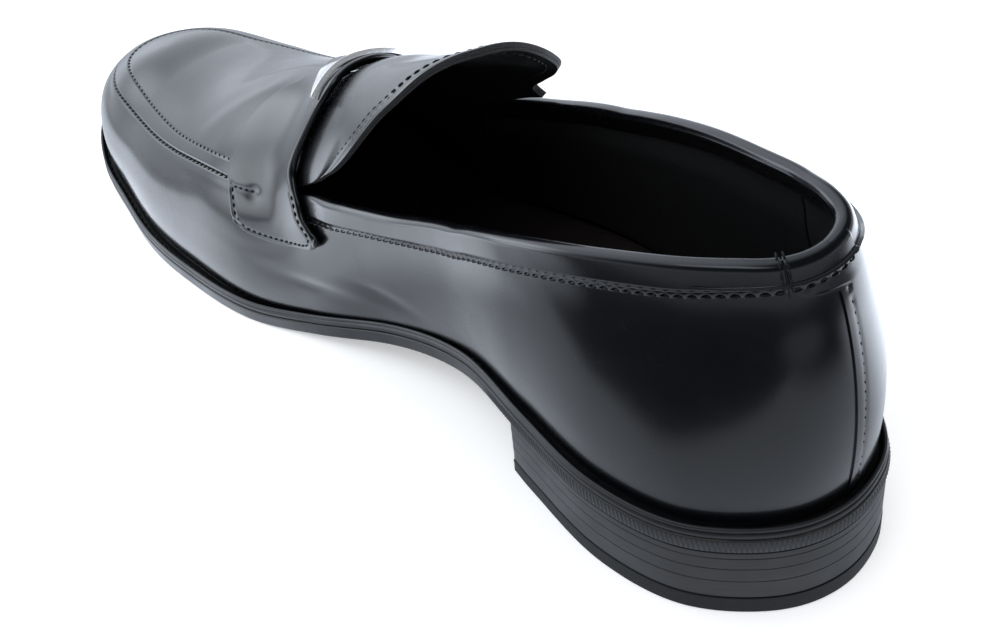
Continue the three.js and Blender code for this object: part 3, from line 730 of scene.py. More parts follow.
def build_wall():
    """Vamp and both quarters in one piece. The leather is pared thin where it laps at the back seam."""
    u = graded((-0.004, 0.02, 16), (0.02, 0.96, 380), (0.96, 0.99, 30), (0.99, 1 + BACK_SEAM_U, 50))
    s = graded((-0.035, 0.06, 7), (0.06, 0.8, 36), (0.8, 0.9, 18), (0.9, 1.0, 16))
    u_grid, s_grid = np.meshgrid(u, s, indexing="ij")
    v_grid = top_edge(u_grid) * s_grid
    tab = TAB_U * smooth(*TAB_V, v_grid) * smooth(0.985, 1 + BACK_SEAM_U, u_grid)
    relief = wall_relief(u_grid, v_grid)
    outer = skin(u_grid + tab, v_grid, relief)
    pared = np.where(u_grid > 0.97, 0.6, 1.0)
    inner = skin(u_grid + tab, v_grid, relief - UPPER * pared)
    piece = sheet("upper_leather", outer, inner, CALF, bevel=0.2)
    return done(piece, "upper_leather", "upper")


def section_pair(x_from, n):
    """Places round the toe from the medial side at x_from to the lateral, in pairs with equal x."""
    u = np.linspace(u_at(x_from, 1), TOE_U, n)
    x = np.interp(u, np.arange(TOE_INDEX + 1) / OUTLINE_STEPS, foot_x[:TOE_INDEX + 1])
    back = u_at(x[:-1], -1)[::-1]
    return np.concatenate([u, back])


def whip_share(x):
    """Height of the whip seam as a share of the way from the apron's edge to the ridge."""
    return (whip_v(x) - edge_v(x)) / (1 - edge_v(x))


def apron_creases(x, w):
    """Two soft folds that run forward from the strap."""
    upper = -0.12 + 0.24 * smooth(142, 182, x)
    lower = 0.13 + 0.011 * (x - 156)
    fold = 0.26 * bump(w - upper, 0.075) - 0.1 * bump(w - upper - 0.13, 0.085)
    second = 0.2 * bump(w - lower, 0.062) - 0.08 * bump(w - lower - 0.12, 0.075)
    return fold * smooth(184, 166, x) + second * smooth(146, 156, x) * smooth(178, 166, x)


def apron_relief(x, share, rate):
    """Band between the two seams stands a little proud, with a groove along each seam."""
    d_edge = share * (1 - edge_v(x)) * rate
    d_whip = (share - whip_share(x)) * (1 - edge_v(x)) * rate
    band = 0.3 * smooth(0, 1.2, d_edge) * smooth(0.6, -0.4, d_whip)
    seam = -0.3 * bump(d_edge, 0.42)
    groove = -0.12 * bump(d_whip - 0.35, 0.4)
    return band + seam + groove


def build_apron():
    """Apron over the toes and the instep: a band between its two seams, then the plain top."""
    u = section_pair(APRON_REAR_X, 150)
    x = section_x(u)
    band_rows = graded((0, 0.25, 10), (0.25, 0.86, 8), (0.86, 1.0, 8))
    top_rows = graded((0, 0.06, 8), (0.06, 1, 40))[1:]
    w = whip_share(x)[:, None]
    share = np.concatenate([w * band_rows[None, :], w + (1 - w) * top_rows[None, :]], 1)
    low = edge_v(x)[:, None] + SEAM_GAP_V
    v = low + (1 - low) * share
    u_grid = np.broadcast_to(u[:, None], v.shape)
    side = np.where(u < TOE_U, 1, -1)[:, None]
    relief = apron_relief(x[:, None], share, rise_rate(u_grid, np.clip(v, 0.02, 0.96)))
    relief = relief + apron_creases(x[:, None], side * (1 - v))
    outer = skin(u_grid, v, relief)
    inner = skin(u_grid, v, relief - UPPER)
    piece = sheet("apron_leather", outer, inner, CALF, weld=0.12, open_top=True)
    return done(piece, "upper_leather", "apron")


TONGUE_THICK = 1.1
TONGUE_LINING = 0.8
TONGUE_GLUE = 0.05
TONGUE_STITCH = 3.3
TONGUE_FLARE = 1.3
TONGUE_DIP = 2.6
TONGUE_DROOP = 1.2
TONGUE_DROOP_FAR = 1.8
TONGUE_FOLLOWS = 0.9
TONGUE_SINK = 1.8


def tongue_grid(w, t, out):
    """Tongue surface; t is 0 at the rear edge and 1 at the root under the strap.

    Its medial rear edge flares up, its lateral half droops, it rises with the strap's arch, and its root
    sinks under the apron."""
    x = tongue_rear(w) + (TONGUE_ROOT_X - tongue_rear(w)) * t
    flare = TONGUE_FLARE * smooth(0.4, 0.0, t) * smooth(-0.5, 0.1, w)
    droop = TONGUE_DROOP * bump(w + 0.13, 0.2) + TONGUE_DROOP_FAR * bump(w + 0.29, 0.17)
    droop = droop + TONGUE_DIP * smooth(0.0, 0.14, t) * bump(w + 0.15, 0.25)
    under_strap = TONGUE_FOLLOWS * strap_lift(w, 0.0) * smooth(92, 112, x) * smooth(128, 118, x)
    sink = TONGUE_SINK * smooth(125, TONGUE_ROOT_X, x)
    return across(x, w, out + flare - droop * smooth(0.8, 0.4, t) + under_strap - sink)


def build_tongue():
    w = graded((-0.595, -0.5, 24), (-0.5, 0.46, 70), (0.46, 0.493, 10))
    t = graded((0, 0.14, 14), (0.14, 1.0, 36))
    w_grid, t_grid = np.meshgrid(w, t, indexing="ij")
    from_edge = t_grid * (TONGUE_ROOT_X - tongue_rear(w_grid))
    stitch_dent = -0.2 * bump(from_edge - TONGUE_STITCH, 0.8)
    outer = tongue_grid(w_grid, t_grid, stitch_dent)
    inner = tongue_grid(w_grid, t_grid, -TONGUE_THICK)
    leather = sheet("tongue_leather", outer, inner, CALF, bevel=0.3, edge=RAW)
    below = tongue_grid(w_grid, t_grid, -TONGUE_THICK - TONGUE_GLUE)
    under = tongue_grid(w_grid, t_grid, -TONGUE_THICK - TONGUE_LINING)
    lining = sheet("tongue_lining_leather", below, under, LINING, bevel=0.25, edge=RAW)
    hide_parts("tongue")
    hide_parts("tongue_lining")
    return leather, lining


def strap_lift(w, t):
    """Height of the arch in which the strap stands off the instep on the lateral side."""
    return 2.0 * (1 - t / 2) * bump(w + 0.38, 0.2)


STRAP_BASE = 0.5
STRAP_REAR_THICK = 2.3
STRAP_FRONT_THICK = 1.4
STRAP_REAR_ROLL = 2.0
STRAP_FRONT_ROLL = 0.7
STRAP_END_ROLL = 0.8
STRAP_STITCH = 1.8
STRAP_FOOT = 0.02
DIMPLE_X = 140.3
DIMPLE_W = 0.53
CHANNEL_WIDTH = 0.6
CHANNEL_DEPTH = 0.22


def strap_x(a, t):
    """x of a place on the strap: a is the distance from the ridge as |w|, t is 0 rear and 1 front."""
    return strap_rear(a) + (strap_front(a) - strap_rear(a)) * t


def strap_t(x, a):
    """t of a place on the strap, from its x."""
    return np.clip((x - strap_rear(a)) / (strap_front(a) - strap_rear(a)), 0, 1)


def strap_out(x, w, t, top):
    """Distance of the strap's top (or underside) over the foot shape."""
    a = np.abs(w)
    thick = STRAP_REAR_THICK + (STRAP_FRONT_THICK - STRAP_REAR_THICK) * smooth(0, 0.5, t)
    sit = STRAP_BASE - 0.3 * smooth(0.6, 0.69, a) + strap_lift(w, t)
    dimple = 0.5 * bump(x - DIMPLE_X, 2.6) * bump(a - DIMPLE_W, 0.028)
    pull = 0.25 * bump(x - 146, 6) * bump(a - DIMPLE_W, 0.02)
    return sit - dimple - pull + top * thick


def rolled(distance, radius):
    """Share of half the thickness that a rounded edge takes off at a distance from that edge."""
    k = np.clip(1 - distance / radius, 0, 0.999)
    return 1 - np.sqrt(1 - k * k)


def build_strap():
    """Strap over the instep; its rows of points lie close together where the edges are rounded."""
    rim = 1 - 0.022 * np.linspace(0, 1, 9) ** 2
    middle = graded((-0.978, -0.66, 44), (-0.66, 0.66, 90), (0.66, 0.978, 44))
    s = np.concatenate([-rim[:-1], middle, rim[:-1][::-1]])
    rear, front = 0.075 * np.linspace(0, 1, 12) ** 2, 1 - 0.03 * np.linspace(0, 1, 7) ** 2
    middle = graded((0.075, 0.14, 4), (0.14, 0.86, 28), (0.86, 0.97, 6))
    t = np.concatenate([rear[:-1], middle, front[:-1][::-1]])
    s_grid, t_grid = np.meshgrid(s, t, indexing="ij")
    w = s_grid * strap_end(t_grid)
    a = np.abs(w)
    x = strap_x(a, t_grid)
    stitch = strap_stitch_dent(x, a, t_grid)
    edge = np.maximum.reduce([
        rolled(x - strap_rear(a), STRAP_REAR_ROLL), rolled(strap_front(a) - x, STRAP_FRONT_ROLL),
        rolled((strap_end(t_grid) - a) * RISE_MM, STRAP_END_ROLL)])
    top, under = strap_out(x, w, t_grid, 1.0), strap_out(x, w, t_grid, 0.0)
    half = (top - under) / 2
    outer = across(x, w, top + stitch - half * edge)
    inner = across(x, w, under + half * edge)
    piece = sheet("saddle_strap_leather", outer, inner, CALF)
    return done(piece, "upper_leather", "saddle_strap")


def strap_stitch_dent(x, a, t):
    """Narrow channel under the stitching near the ends of the strap."""
    near_end = smooth(0.5, DIMPLE_W, a)
    front = bump(strap_front(a) - STRAP_STITCH - x, CHANNEL_WIDTH) * near_end
    rear = bump(x - strap_rear(a) - STRAP_STITCH, CHANNEL_WIDTH) * near_end
    foot = bump((strap_end(t) - STRAP_FOOT - a) * RISE_MM, CHANNEL_WIDTH)
    stub = bump((a - DIMPLE_W) * RISE_MM, CHANNEL_WIDTH) * smooth(138.5, 140.5, x)
    return -CHANNEL_DEPTH * np.maximum.reduce([front, rear, foot, stub])


# Collar band: from its stitched lower edge on the wall, up over the top edge and down the inside.
BAND_T = 0.8
RIM_RADIUS = 1.85
RIM_CENTRE = -1.05
RIM_DROP = 1.5
BAND_INSIDE = 4.6
BAND_PITCH = 2.5
BAND_JOIN_U = 0.0205
BAND_JOIN_GAP = 0.0008


def band_profile(fall, n_arc=14, n_inside=8):
    """Height over the top edge and distance outside the foot shape along the band, both in mm.

    fall is the height of the band between its stitches and the top edge, one value for each section."""
    fall = np.asarray(fall, float)[:, None]
    low = np.array([(0.6, -0.5), (0.35, -0.2), (0.12, 0), (-0.15, 0.12), (-0.5, 0.3), (-1.0, 0.45),
                    (-1.8, 0.58)])
    roll = np.linspace(0.3, 1, 12, endpoint=False)
    a = np.linspace(0, math.pi, n_arc)
    down = np.append(np.linspace(0, 0.92, n_inside), 1.0)[1:]
    height = [-fall - low[:, 0], -fall * (1 - roll) - RIM_DROP * roll,
              np.tile(RIM_RADIUS * np.sin(a) - RIM_DROP, (len(fall), 1)),
              np.tile(-RIM_DROP - BAND_INSIDE * down, (len(fall), 1))]
    one = np.ones_like(fall)
    out = [low[:, 1] * one, (0.54 + 0.26 * roll) * one, (RIM_CENTRE + RIM_RADIUS * np.cos(a)) * one,
           (RIM_CENTRE - RIM_RADIUS + 0.4 * down ** 4) * one]
    return np.concatenate(height, 1), np.concatenate(out, 1)


def band_fall(u):
    """Stitches to top edge in mm, the top edge as v, and mm for a step of 1 in v."""
    x = section_x(u)
    top = top_edge(u)
    rate = rise_rate(u, top)
    return band_drop(x) * rate, top, rate


def band_grid(u, shrink=0.0):
    """Surface of a collar band along the places u, moved inwards by shrink. Its edge puckers between
    the stitches."""
    fall, top, rate = band_fall(u)
    height, out = band_profile(fall)
    dh, do = np.gradient(height, axis=1), np.gradient(out, axis=1)
    size = np.hypot(dh, do)
    length = length_along(skin(u, top - fall / rate, 0.1))
    count = int(length[-1] / BAND_PITCH)
    scallop = 0.5 - 0.5 * np.cos(2 * math.pi * length * count / length[-1])
    dent = -0.2 * scallop[:, None] * bump(height + fall[:, None], 0.8)
    under_strap = smooth(108, 118, section_x(u))[:, None]
    level = np.where(out > 0, out * (1 - 0.85 * under_strap), out) + dent * (out > 0)
    lap = lap_under(u)[:, None] * smooth(-1, 1, out)
    level = level + lap - shrink * dh / size
    v = top[:, None] + (height + shrink * do / size) / rate[:, None]
    return skin(np.broadcast_to(u[:, None], v.shape), v, level)


def collar_places(n_medial, n_lateral):
    """Places along the medial band from the join to the strap, and along the lateral one back to the join."""
    medial = np.linspace(BAND_JOIN_U, u_at(COLLAR_FRONT_X, 1), n_medial)
    lateral = np.linspace(u_at(COLLAR_FRONT_X, -1) - 1, BAND_JOIN_U - BAND_JOIN_GAP, n_lateral)
    return medial, lateral


def build_collar():
    for side, u in zip(("medial", "lateral"), collar_places(700, 760)):
        name = f"collar_band_{side}"
        # The foot of each band's inside leg gets a painted highlight strip in the cut-edge colour.
        band = sheet(f"{name}_leather", band_grid(u), band_grid(u, BAND_T), CALF, painted_highlight_columns=1)
        done(band, "upper_leather", name)


# ---- Inside ------------------------------------------------------
LINING_TOP = -1.55
LINING_LOW = -2.95
LINING_T = 0.85
LINING_FOOT_V = 0.015
LINING_SHORT_V = 0.012
GRIP_U = 0.06
LINING_JOIN_X = 113.0


def lining_sheet(name, node, u_from, u_to, n, short_v=LINING_SHORT_V):
    """Lining behind the wall. It steps inward below the collar to clear the stiffeners."""
    u_grid, s_grid = np.meshgrid(np.linspace(u_from, u_to, n), np.linspace(0.0, 1.0, 34), indexing="ij")
    v = LINING_FOOT_V + (top_edge(u_grid) - short_v - LINING_FOOT_V) * s_grid
    out = LINING_LOW + (LINING_TOP - LINING_LOW) * smooth(0.72, 0.9, s_grid)
    piece = sheet(name, skin(u_grid, v, out), skin(u_grid, v, out - LINING_T), LINING, bevel=0.2)
    return done(piece, "lining_leather", node)


def build_linings():
    medial, lateral = u_at(LINING_JOIN_X, 1), u_at(LINING_JOIN_X, -1) - 1
    lining_sheet("heel_grip_leather", "heel_grip", -GRIP_U, GRIP_U, 40)
    lining_sheet("quarter_lining_medial_leather", "quarter_lining_medial", GRIP_U + 0.001, medial, 80)
    lining_sheet("quarter_lining_lateral_leather", "quarter_lining_lateral", lateral, -GRIP_U - 0.001, 80)
    medial, lateral = u_at(LINING_JOIN_X + 1, 1), u_at(LINING_JOIN_X + 1, -1)
    lining_sheet("vamp_lining_leather", "vamp_lining", medial, lateral, 150, short_v=0.02)


def build_apron_lining():
    u = section_pair(APRON_REAR_X + 1, 90)
    low = edge_v(section_x(u))[:, None] + 0.03
    v = low + (1 - low) * np.linspace(0, 1, 20)[None, :]
    u_grid = np.broadcast_to(u[:, None], v.shape)
    piece = sheet("apron_lining_leather", skin(u_grid, v, LINING_LOW), skin(u_grid, v, LINING_LOW - LINING_T),
                  LINING, weld=0.12, open_top=True)
    done(piece, "lining_leather", "apron_lining")


# ---- Bottom ------------------------------------------------------
def ring_us(x_to, n):
    """Places round the outline in medial and lateral pairs of nearly equal x, up to x_to."""
    end = math.pi if x_to >= TOE_TIP else math.pi / 2
    phase = (1 - np.cos(np.linspace(0, end, n))) / (1 - math.cos(end))
    x = HEEL_BACK + (x_to - HEEL_BACK) * phase
    medial = np.interp(x, outline[:TOE_INDEX + 1, 0], np.arange(TOE_INDEX + 1) / OUTLINE_STEPS)
    back = np.arange(OUTLINE_STEPS, TOE_INDEX - 1, -1)
    lateral = np.interp(x, outline[back % OUTLINE_STEPS, 0], back / OUTLINE_STEPS)
    return medial, lateral


def ring_grid(u, section, z_of):
    """Points round the outline: a row for each place in u and a column for each (inset, height)."""
    o, n = outline_at(u)
    columns = []
    for inset, height in section:
        xy = o - n * np.broadcast_to(inset, len(u))[:, None]
        columns.append(np.column_stack([xy, z_of(xy[:, 0], height)]))
    return np.stack(columns, 1)


def slab(name, profile, z_of, x_to, material, n=300, under=None, lean=0.0):
    """Solid that fills the outline. profile lists (inset, height share) round its side, bottom to top.

    Its front face stands at x_to and leans back by `lean` for each mm of height. `under` is the material
    of its underside."""
    medial, lateral = ring_us(x_to, n)
    u = np.concatenate([medial, lateral[::-1]])
    grid = ring_grid(u, profile, z_of)
    count, width = grid.shape[:2]
    if x_to < TOE_TIP:
        front = x_to - np.array(profile)[:, 0] - lean * grid[..., 2]
        grid[..., 0] = np.minimum(grid[..., 0], front)
    faces = quads(count, width, ring=True)
    caps = []
    for level, flip in ((0, False), (width - 1, True)):
        for i in range(len(medial) - 1):
            a, b = i * width + level, (i + 1) * width + level
            c, d = (count - 2 - i) * width + level, (count - 1 - i) * width + level
            caps.append([a, b, c, d] if flip else [d, c, b, a])
    piece = new_piece(name, grid, faces + caps, material)
    if under is not None:
        piece.data.materials.append(under)
        for polygon in piece.data.polygons:
            polygon.material_index = int(polygon.normal.z < -0.8)
    clean(piece, 0.02)
    return piece


def rounded_side(depth, radius_low, radius_high, steps=5):
    """Side profile of a slab `depth` thick, as (inset, height share), with rounded arrises."""
    low = [(radius_low * (1 - math.sin(a)), radius_low * (1 - math.cos(a)))
           for a in np.linspace(0, math.pi / 2, steps)]
    high = [(radius_high * (1 - math.cos(a)), depth - radius_high * (1 - math.sin(a)))
            for a in np.linspace(0, math.pi / 2, steps)]
    steady = [(0.0, radius_low + 0.08), (0.0, depth - radius_high - 0.08)]
    return [(inset, height / depth) for inset, height in low + steady + high]


def outsole_z(x, share):
    return sole_z(x) + OUTSOLE * share


def build_outsole():
    side = [(2.4, 0.0)] + rounded_side(OUTSOLE, 0.7, 0.35) + [(2.4, 1.0)]
    piece = slab("outsole_leather", side, outsole_z, TOE_TIP, EDGE, under=TREAD)
    done(piece, "sole_leather", "outsole")


REED_PITCH = 1.05
REED_DEPTH = 0.34
REED_BACK = 0.6
REED_FRONT_X = 56.0
# Inset and height of the reeded band's section; only its middle, which stands proud, has ribs.
REED_SECTION = [(0.3, 0.06), (0.02, 0.12), (-0.04, 0.2), (-0.04, 0.8), (0.02, 0.88), (0.3, 0.94)]


def build_reeding():
    """Fine upright ribs wheeled into the edge of the outsole round the heel seat."""
    last, first = float(u_at(REED_FRONT_X, -1)) - 1, float(u_at(REED_FRONT_X, 1))
    ribs = int((first - last) * OUTLINE_LENGTH / REED_PITCH)
    samples = 6
    u = np.linspace(last, first, ribs * samples + 1)
    rib = np.cos(np.arange(len(u)) * 2 * math.pi / samples) * REED_DEPTH / 2
    rib = rib * smooth(REED_FRONT_X, REED_FRONT_X - 10, outline_at(u)[0][:, 0])
    front = [(inset - rib * (inset < 0), share) for inset, share in REED_SECTION]
    back = [(inset + REED_BACK, share) for inset, share in REED_SECTION]
    piece = sheet("outsole_reeding", ring_grid(u, front, outsole_z), ring_grid(u, back, outsole_z), EDGE)
    done(piece, "sole_leather")


WELT_SECTION = [
    (1.0, 0.06), (0.45, 0.2), (0.3, 0.6), (0.3, 1.3), (0.5, 1.72), (0.95, 1.82), (0.95, 1.98), (0.6, 2.1),
    (0.5, 2.4), (0.56, 2.8), (0.85, 3.05), (1.2, 3.0), (1.5, 2.6), (1.7, 1.9), (1.95, 1.3), (2.5, 1.0),
    (8.0, 0.9), (8.0, 0.06),
]


def build_welt():
    """Ring on the outsole: a rounded edge, a fine line and a thin lip, then a deep groove to the upper."""
    u = np.linspace(0, 1, 640, endpoint=False)
    grid = ring_grid(u, WELT_SECTION, lambda x, height: sole_z(x) + OUTSOLE + height)
    width = len(WELT_SECTION)
    faces = quads(len(u), width, ring=True)
    for i in range(len(u)):
        a, b = i * width, ((i + 1) % len(u)) * width
        faces.append([b, b + width - 1, a + width - 1, a])
    piece = new_piece("welt_leather", grid, faces, EDGE)
    clean(piece)
    done(piece, "sole_leather", "welt")


LIFT_GAP = 0.08
LIFT_INSET = 0.15
SEAT_GAP = 0.25
NAILS = 5


def build_heel():
    """Rubber top piece and four leather lifts, with fine gaps between them."""
    level = lambda base, depth: lambda x, share: np.full_like(x, base + share * depth)
    lean = BREAST_LEAN / HEEL_RISE
    depth = TOP_PIECE - SEAT_GAP
    side = [(2.2, 0.0)] + rounded_side(depth, 0.5, 0.3) + [(2.0, 1.0)]
    top_piece = slab("heel_top_rubber", side, level(0.0, depth), BREAST_X, RUBBER, n=160, lean=lean)
    done(top_piece, "rubber_top_piece", "heel_top_piece")
    for i, (seam, above) in enumerate(zip(LIFT_SEAMS, [*LIFT_SEAMS[1:], HEEL_RISE])):
        depth = above - seam - LIFT_GAP
        side = [(2.0, 0.0)] + rounded_side(depth, 0.14, 0.14, steps=3) + [(2.0, 1.0)]
        side = [(inset + LIFT_INSET, share) for inset, share in side]
        name = f"heel_lift_{i + 1}"
        lift = slab(f"{name}_leather", side, level(seam, depth), BREAST_X, STACK, n=160, lean=lean)
        done(lift, "sole_leather", name)


INSOLE = 2.9
SOCK_THICK = 1.2
PAD_BASE = 1.3
PAD_THICK = 1.6
PAD_FRONT_X = 52.0


def build_sock():
    """Sock lining over the whole insole, and a thicker pad under the heel."""
    base = OUTSOLE + WELT + INSOLE
    z = lambda x, share: sole_z(x) + base + share * SOCK_THICK
    side = [(9.0, 0.0), (7.2, 0.0), (6.9, 0.3), (6.9, 0.75), (7.4, 1.0), (9.0, 1.06)]
    done(slab("sock_lining_leather", side, z, TOE_TIP, SOCK), "lining_leather", "sock_lining")
    z = lambda x, share: sole_z(x) + base + PAD_BASE + share * PAD_THICK
    side = [(12.0, 0.0), (11.5, 0.0), (11.0, 0.3), (11.4, 0.7), (12.6, 0.95), (14.5, 1.0)]
    done(slab("heel_pad_leather", side, z, PAD_FRONT_X, SOCK, n=120), "lining_leather", "heel_pad")


# ---- Ornament ----------------------------------------------------
PLATE_REAR_W = (-0.47, 0.2)
PLATE_FRONT_W = (-0.33, 0.02)
PLATE_REAR_X = 120.8
PLATE_SWEEP = 3.0
PLATE_WIDTH = 11.0
PLATE_THICK = 1.4
PLATE_STAND = 0.4
PLATE_CROWN = 0.14


def build_plate():
    """Trapezoid bar of polished metal, bent over the strap, with a soft crown."""
    s = graded((0, 0.06, 6), (0.06, 0.94, 48), (0.94, 1, 6))
    d = graded((0, 0.1, 4), (0.1, 0.9, 14), (0.9, 1, 4))
    s_grid, d_grid = np.meshgrid(s, d, indexing="ij")
    low = PLATE_REAR_W[0] + (PLATE_FRONT_W[0] - PLATE_REAR_W[0]) * d_grid
    high = PLATE_REAR_W[1] + (PLATE_FRONT_W[1] - PLATE_REAR_W[1]) * d_grid
    w = low + (high - low) * s_grid
    a = np.abs(w)
    x = PLATE_REAR_X + PLATE_SWEEP * smooth(0.2, 0.44, a) + PLATE_WIDTH * d_grid
    crown = PLATE_CROWN * (1 - (2 * d_grid - 1) ** 2)
    base = strap_out(x, w, strap_t(x, a), 1.0) + PLATE_STAND
    outer = across(x, w, base + PLATE_THICK + crown)
    inner = across(x, w, base)
    piece = sheet("ornament_plate_metal", outer, inner, METAL, bevel=0.4)
    return done(piece, "polished_metal", "ornament_plate")


# ---- Stitches ----------------------------------------------------
STITCH_RINGS = 7
STITCH_SIDES = 6
STITCH_THINS = 0.75
STITCH_DIPS = 2.2


def one_stitch(length, radius, sink):
    """Points of a stitch along x, with y across and z up, thinner and lower towards both ends; its faces."""
    k, turn = np.meshgrid(np.linspace(-1, 1, STITCH_RINGS),
                          np.linspace(0, 2 * math.pi, STITCH_SIDES, endpoint=False), indexing="ij")
    r = radius * np.sqrt(np.maximum(1 - STITCH_THINS * np.abs(k) ** 3, 0.05))
    height = radius * (1 - STITCH_DIPS * k * k - sink)
    points = np.stack([k * length / 2, r * np.cos(turn), height + r * np.sin(turn)], -1).reshape(-1, 3)
    faces = []
    for i in range(0, (STITCH_RINGS - 1) * STITCH_SIDES, STITCH_SIDES):
        for j in range(STITCH_SIDES):
            a, b = i + j, i + (j + 1) % STITCH_SIDES
            faces.append([a, b, b + STITCH_SIDES, a + STITCH_SIDES])
    ring = list(range(STITCH_SIDES))
    faces += [ring[::-1], [len(points) - STITCH_SIDES + j for j in ring]]
    return points, faces


def stitches(name, line, normals, nodes, pitch, radius, fill, lean=0.0, sink=0.35, on="shoe"):
    """Row of separate sewn stitches along a line; each dips into the leather at both ends.

    fill is a stitch's length as a share of the pitch, lean turns it away from the line, and sink is how
    deep it lies as a share of its radius."""
    length = length_along(line)
    count = max(int(length[-1] / pitch), 1)
    middle = (np.arange(count) + 0.5) * length[-1] / count
    at = lambda values, place: np.stack([np.interp(place, length, values[:, k]) for k in range(3)], -1)
    up = at(normals, middle)
    up /= np.linalg.norm(up, axis=1)[:, None]
    ahead = at(line, middle + 0.4) - at(line, middle - 0.4)
    ahead -= up * np.sum(up * ahead, axis=1)[:, None]
    ahead /= np.linalg.norm(ahead, axis=1)[:, None]
    along = ahead * math.cos(lean) + np.cross(up, ahead) * math.sin(lean)
    directions = np.stack([along, np.cross(up, along), up], 1)
    shape, stitch_faces = one_stitch(pitch * fill, radius, sink)
    points = at(line, middle)[:, None] + shape @ directions
    faces = [[i * len(shape) + k for k in face] for i in range(count) for face in stitch_faces]
    piece = new_piece(name, points, faces, THREAD)
    if nodes:
        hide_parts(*nodes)
    if on:
        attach(piece, on)
    return piece


def skin_stitches(name, thread, u, v, out, **size):
    """Stitches along the places (u, v) at a distance outside the foot shape."""
    return stitches(name, skin(u, v, out), normal(u, v), [thread], **size)


def apron_stitches():
    u = section_pair(149.0, 300)
    x = section_x(u)
    v = edge_v(x) - SEAM_GAP_V
    skin_stitches("apron_seam_stitches", "apron_seam_thread", u, v, -0.2,
                  pitch=2.3, radius=0.16, fill=0.8, lean=0.35)
    v = whip_v(x) + 0.005
    skin_stitches("apron_whip_stitches", "apron_whip_thread", u, v, 0.02,
                  pitch=2.4, radius=0.14, fill=0.6, lean=-0.9)


def strap_stitch_line(side):
    """Path of the strap stitching: stub from the dimple, front edge, foot, rear edge."""
    stub_x = np.linspace(DIMPLE_X + 0.2, strap_front(DIMPLE_W) - STRAP_STITCH, 12)
    front_w = np.linspace(DIMPLE_W, 0.625, 24)
    foot_t = np.linspace(0.86, 0.13, 40)
    foot_w = strap_end(foot_t) - STRAP_FOOT
    rear_w = np.linspace(0.675, 0.52, 30)
    x = np.concatenate([stub_x, strap_front(front_w) - STRAP_STITCH, strap_x(foot_w, foot_t),
                        strap_rear(rear_w) + STRAP_STITCH])
    w = np.concatenate([np.full(12, DIMPLE_W), front_w, foot_w, rear_w])
    length = length_along(np.column_stack([x, w * RISE_MM]))
    fine = np.linspace(0, length[-1], 500)
    x, w = np.interp(fine, length, x), np.interp(fine, length, w)
    u, v = across_uv(x, side * w)
    return skin(u, v, strap_out(x, side * w, strap_t(x, w), 1.0) - 0.2), normal(u, v)


def strap_stitches():
    for side, name in ((1, "medial"), (-1, "lateral")):
        line, n = strap_stitch_line(side)
        stitches(f"strap_stitches_{name}", line, n, [f"strap_thread_{name}"],
                 pitch=2.1, radius=0.26, fill=0.9)


def collar_stitches():
    for name, u in zip(("medial", "lateral"), collar_places(400, 440)):
        fall, top, rate = band_fall(u)
        v = top - fall / rate
        skin_stitches(f"collar_stitches_{name}", f"collar_thread_{name}", u, v, 0.06 + lap_under(u),
                      pitch=BAND_PITCH, radius=0.18, fill=0.8)


def back_seam_stitches():
    v = np.linspace(0.02, 0.53, 200)
    u = np.full(200, BACK_STITCH_U)
    skin_stitches("back_seam_stitches", "back_seam_thread", u, v, LAP - 0.12,
                  pitch=SEAM_PITCH, radius=0.09, fill=0.5)


def bar_tack():
    """Two upright rows of thread that lock the join of the collar bands, over the rim."""
    for k, du in enumerate((-0.0016, 0.0012)):
        at = np.array([BAND_JOIN_U + du])
        fall, top, rate = band_fall(at)
        height, out = band_profile(fall)
        over_rim = slice(3, 28)
        v = top + height[0, over_rim] / rate
        u = np.full(len(v), at[0])
        line = skin(u, v, out[0, over_rim] + LAP)
        up = normal(u, np.minimum(v, top))
        stitches(f"bar_tack_row_{k + 1}", line, up, [], pitch=1.8, radius=0.24, fill=1.1, sink=0.0)


def tongue_stitches():
    """Row that follows the tongue's edge at an even distance inside it, sewn through to the lining."""
    w = np.linspace(-0.54, 0.494, 400)
    edge = np.column_stack([tongue_rear(w), w * RISE_MM])
    along = np.gradient(edge, axis=0)
    inward = np.column_stack([along[:, 1], -along[:, 0]]) / np.linalg.norm(along, axis=1)[:, None]
    path = edge + TONGUE_STITCH * inward
    path = path[(path[:, 0] < 120) & (np.gradient(path[:, 1]) > 0)]
    x, w = path[:, 0], path[:, 1] / RISE_MM
    t = (x - tongue_rear(w)) / (TONGUE_ROOT_X - tongue_rear(w))
    u, v = across_uv(x, w)
    line = tongue_grid(w, t, -0.15)
    under = tongue_grid(w, t, -TONGUE_THICK - TONGUE_LINING)
    size = {"pitch": 2.6, "radius": 0.2, "fill": 1.0, "on": None}
    return (stitches("tongue_stitches", line, normal(u, v), ["tongue_thread"], **size),
            stitches("tongue_under_stitches", under, -normal(u, v), [], **size))


WELT_STITCH_X = 55.0
WELT_STITCH = (2.1, 1.2)


def welt_stitches():
    """Row in the welt's groove, in front of the heel seat."""
    u = np.linspace(u_at(WELT_STITCH_X, 1), u_at(WELT_STITCH_X, -1), 900)
    line = ring_grid(u, [WELT_STITCH], lambda x, height: sole_z(x) + OUTSOLE + height)[:, 0]
    up = np.tile([0.0, 0.0, 1.0], (len(u), 1))
    stitches("welt_stitches", line, up, ["welt_thread"], pitch=3.0, radius=0.3, fill=0.85)


# ---- Build -------------------------------------------------------
def hang_tongue():
    """Builds the tongue, its lining and their stitches, and bakes each one's placement into its mesh."""
    slots = ("upper_leather", "lining_leather", "thread", "thread")
    for piece, slot in zip([*build_tongue(), *tongue_stitches()], slots):
        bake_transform(piece)


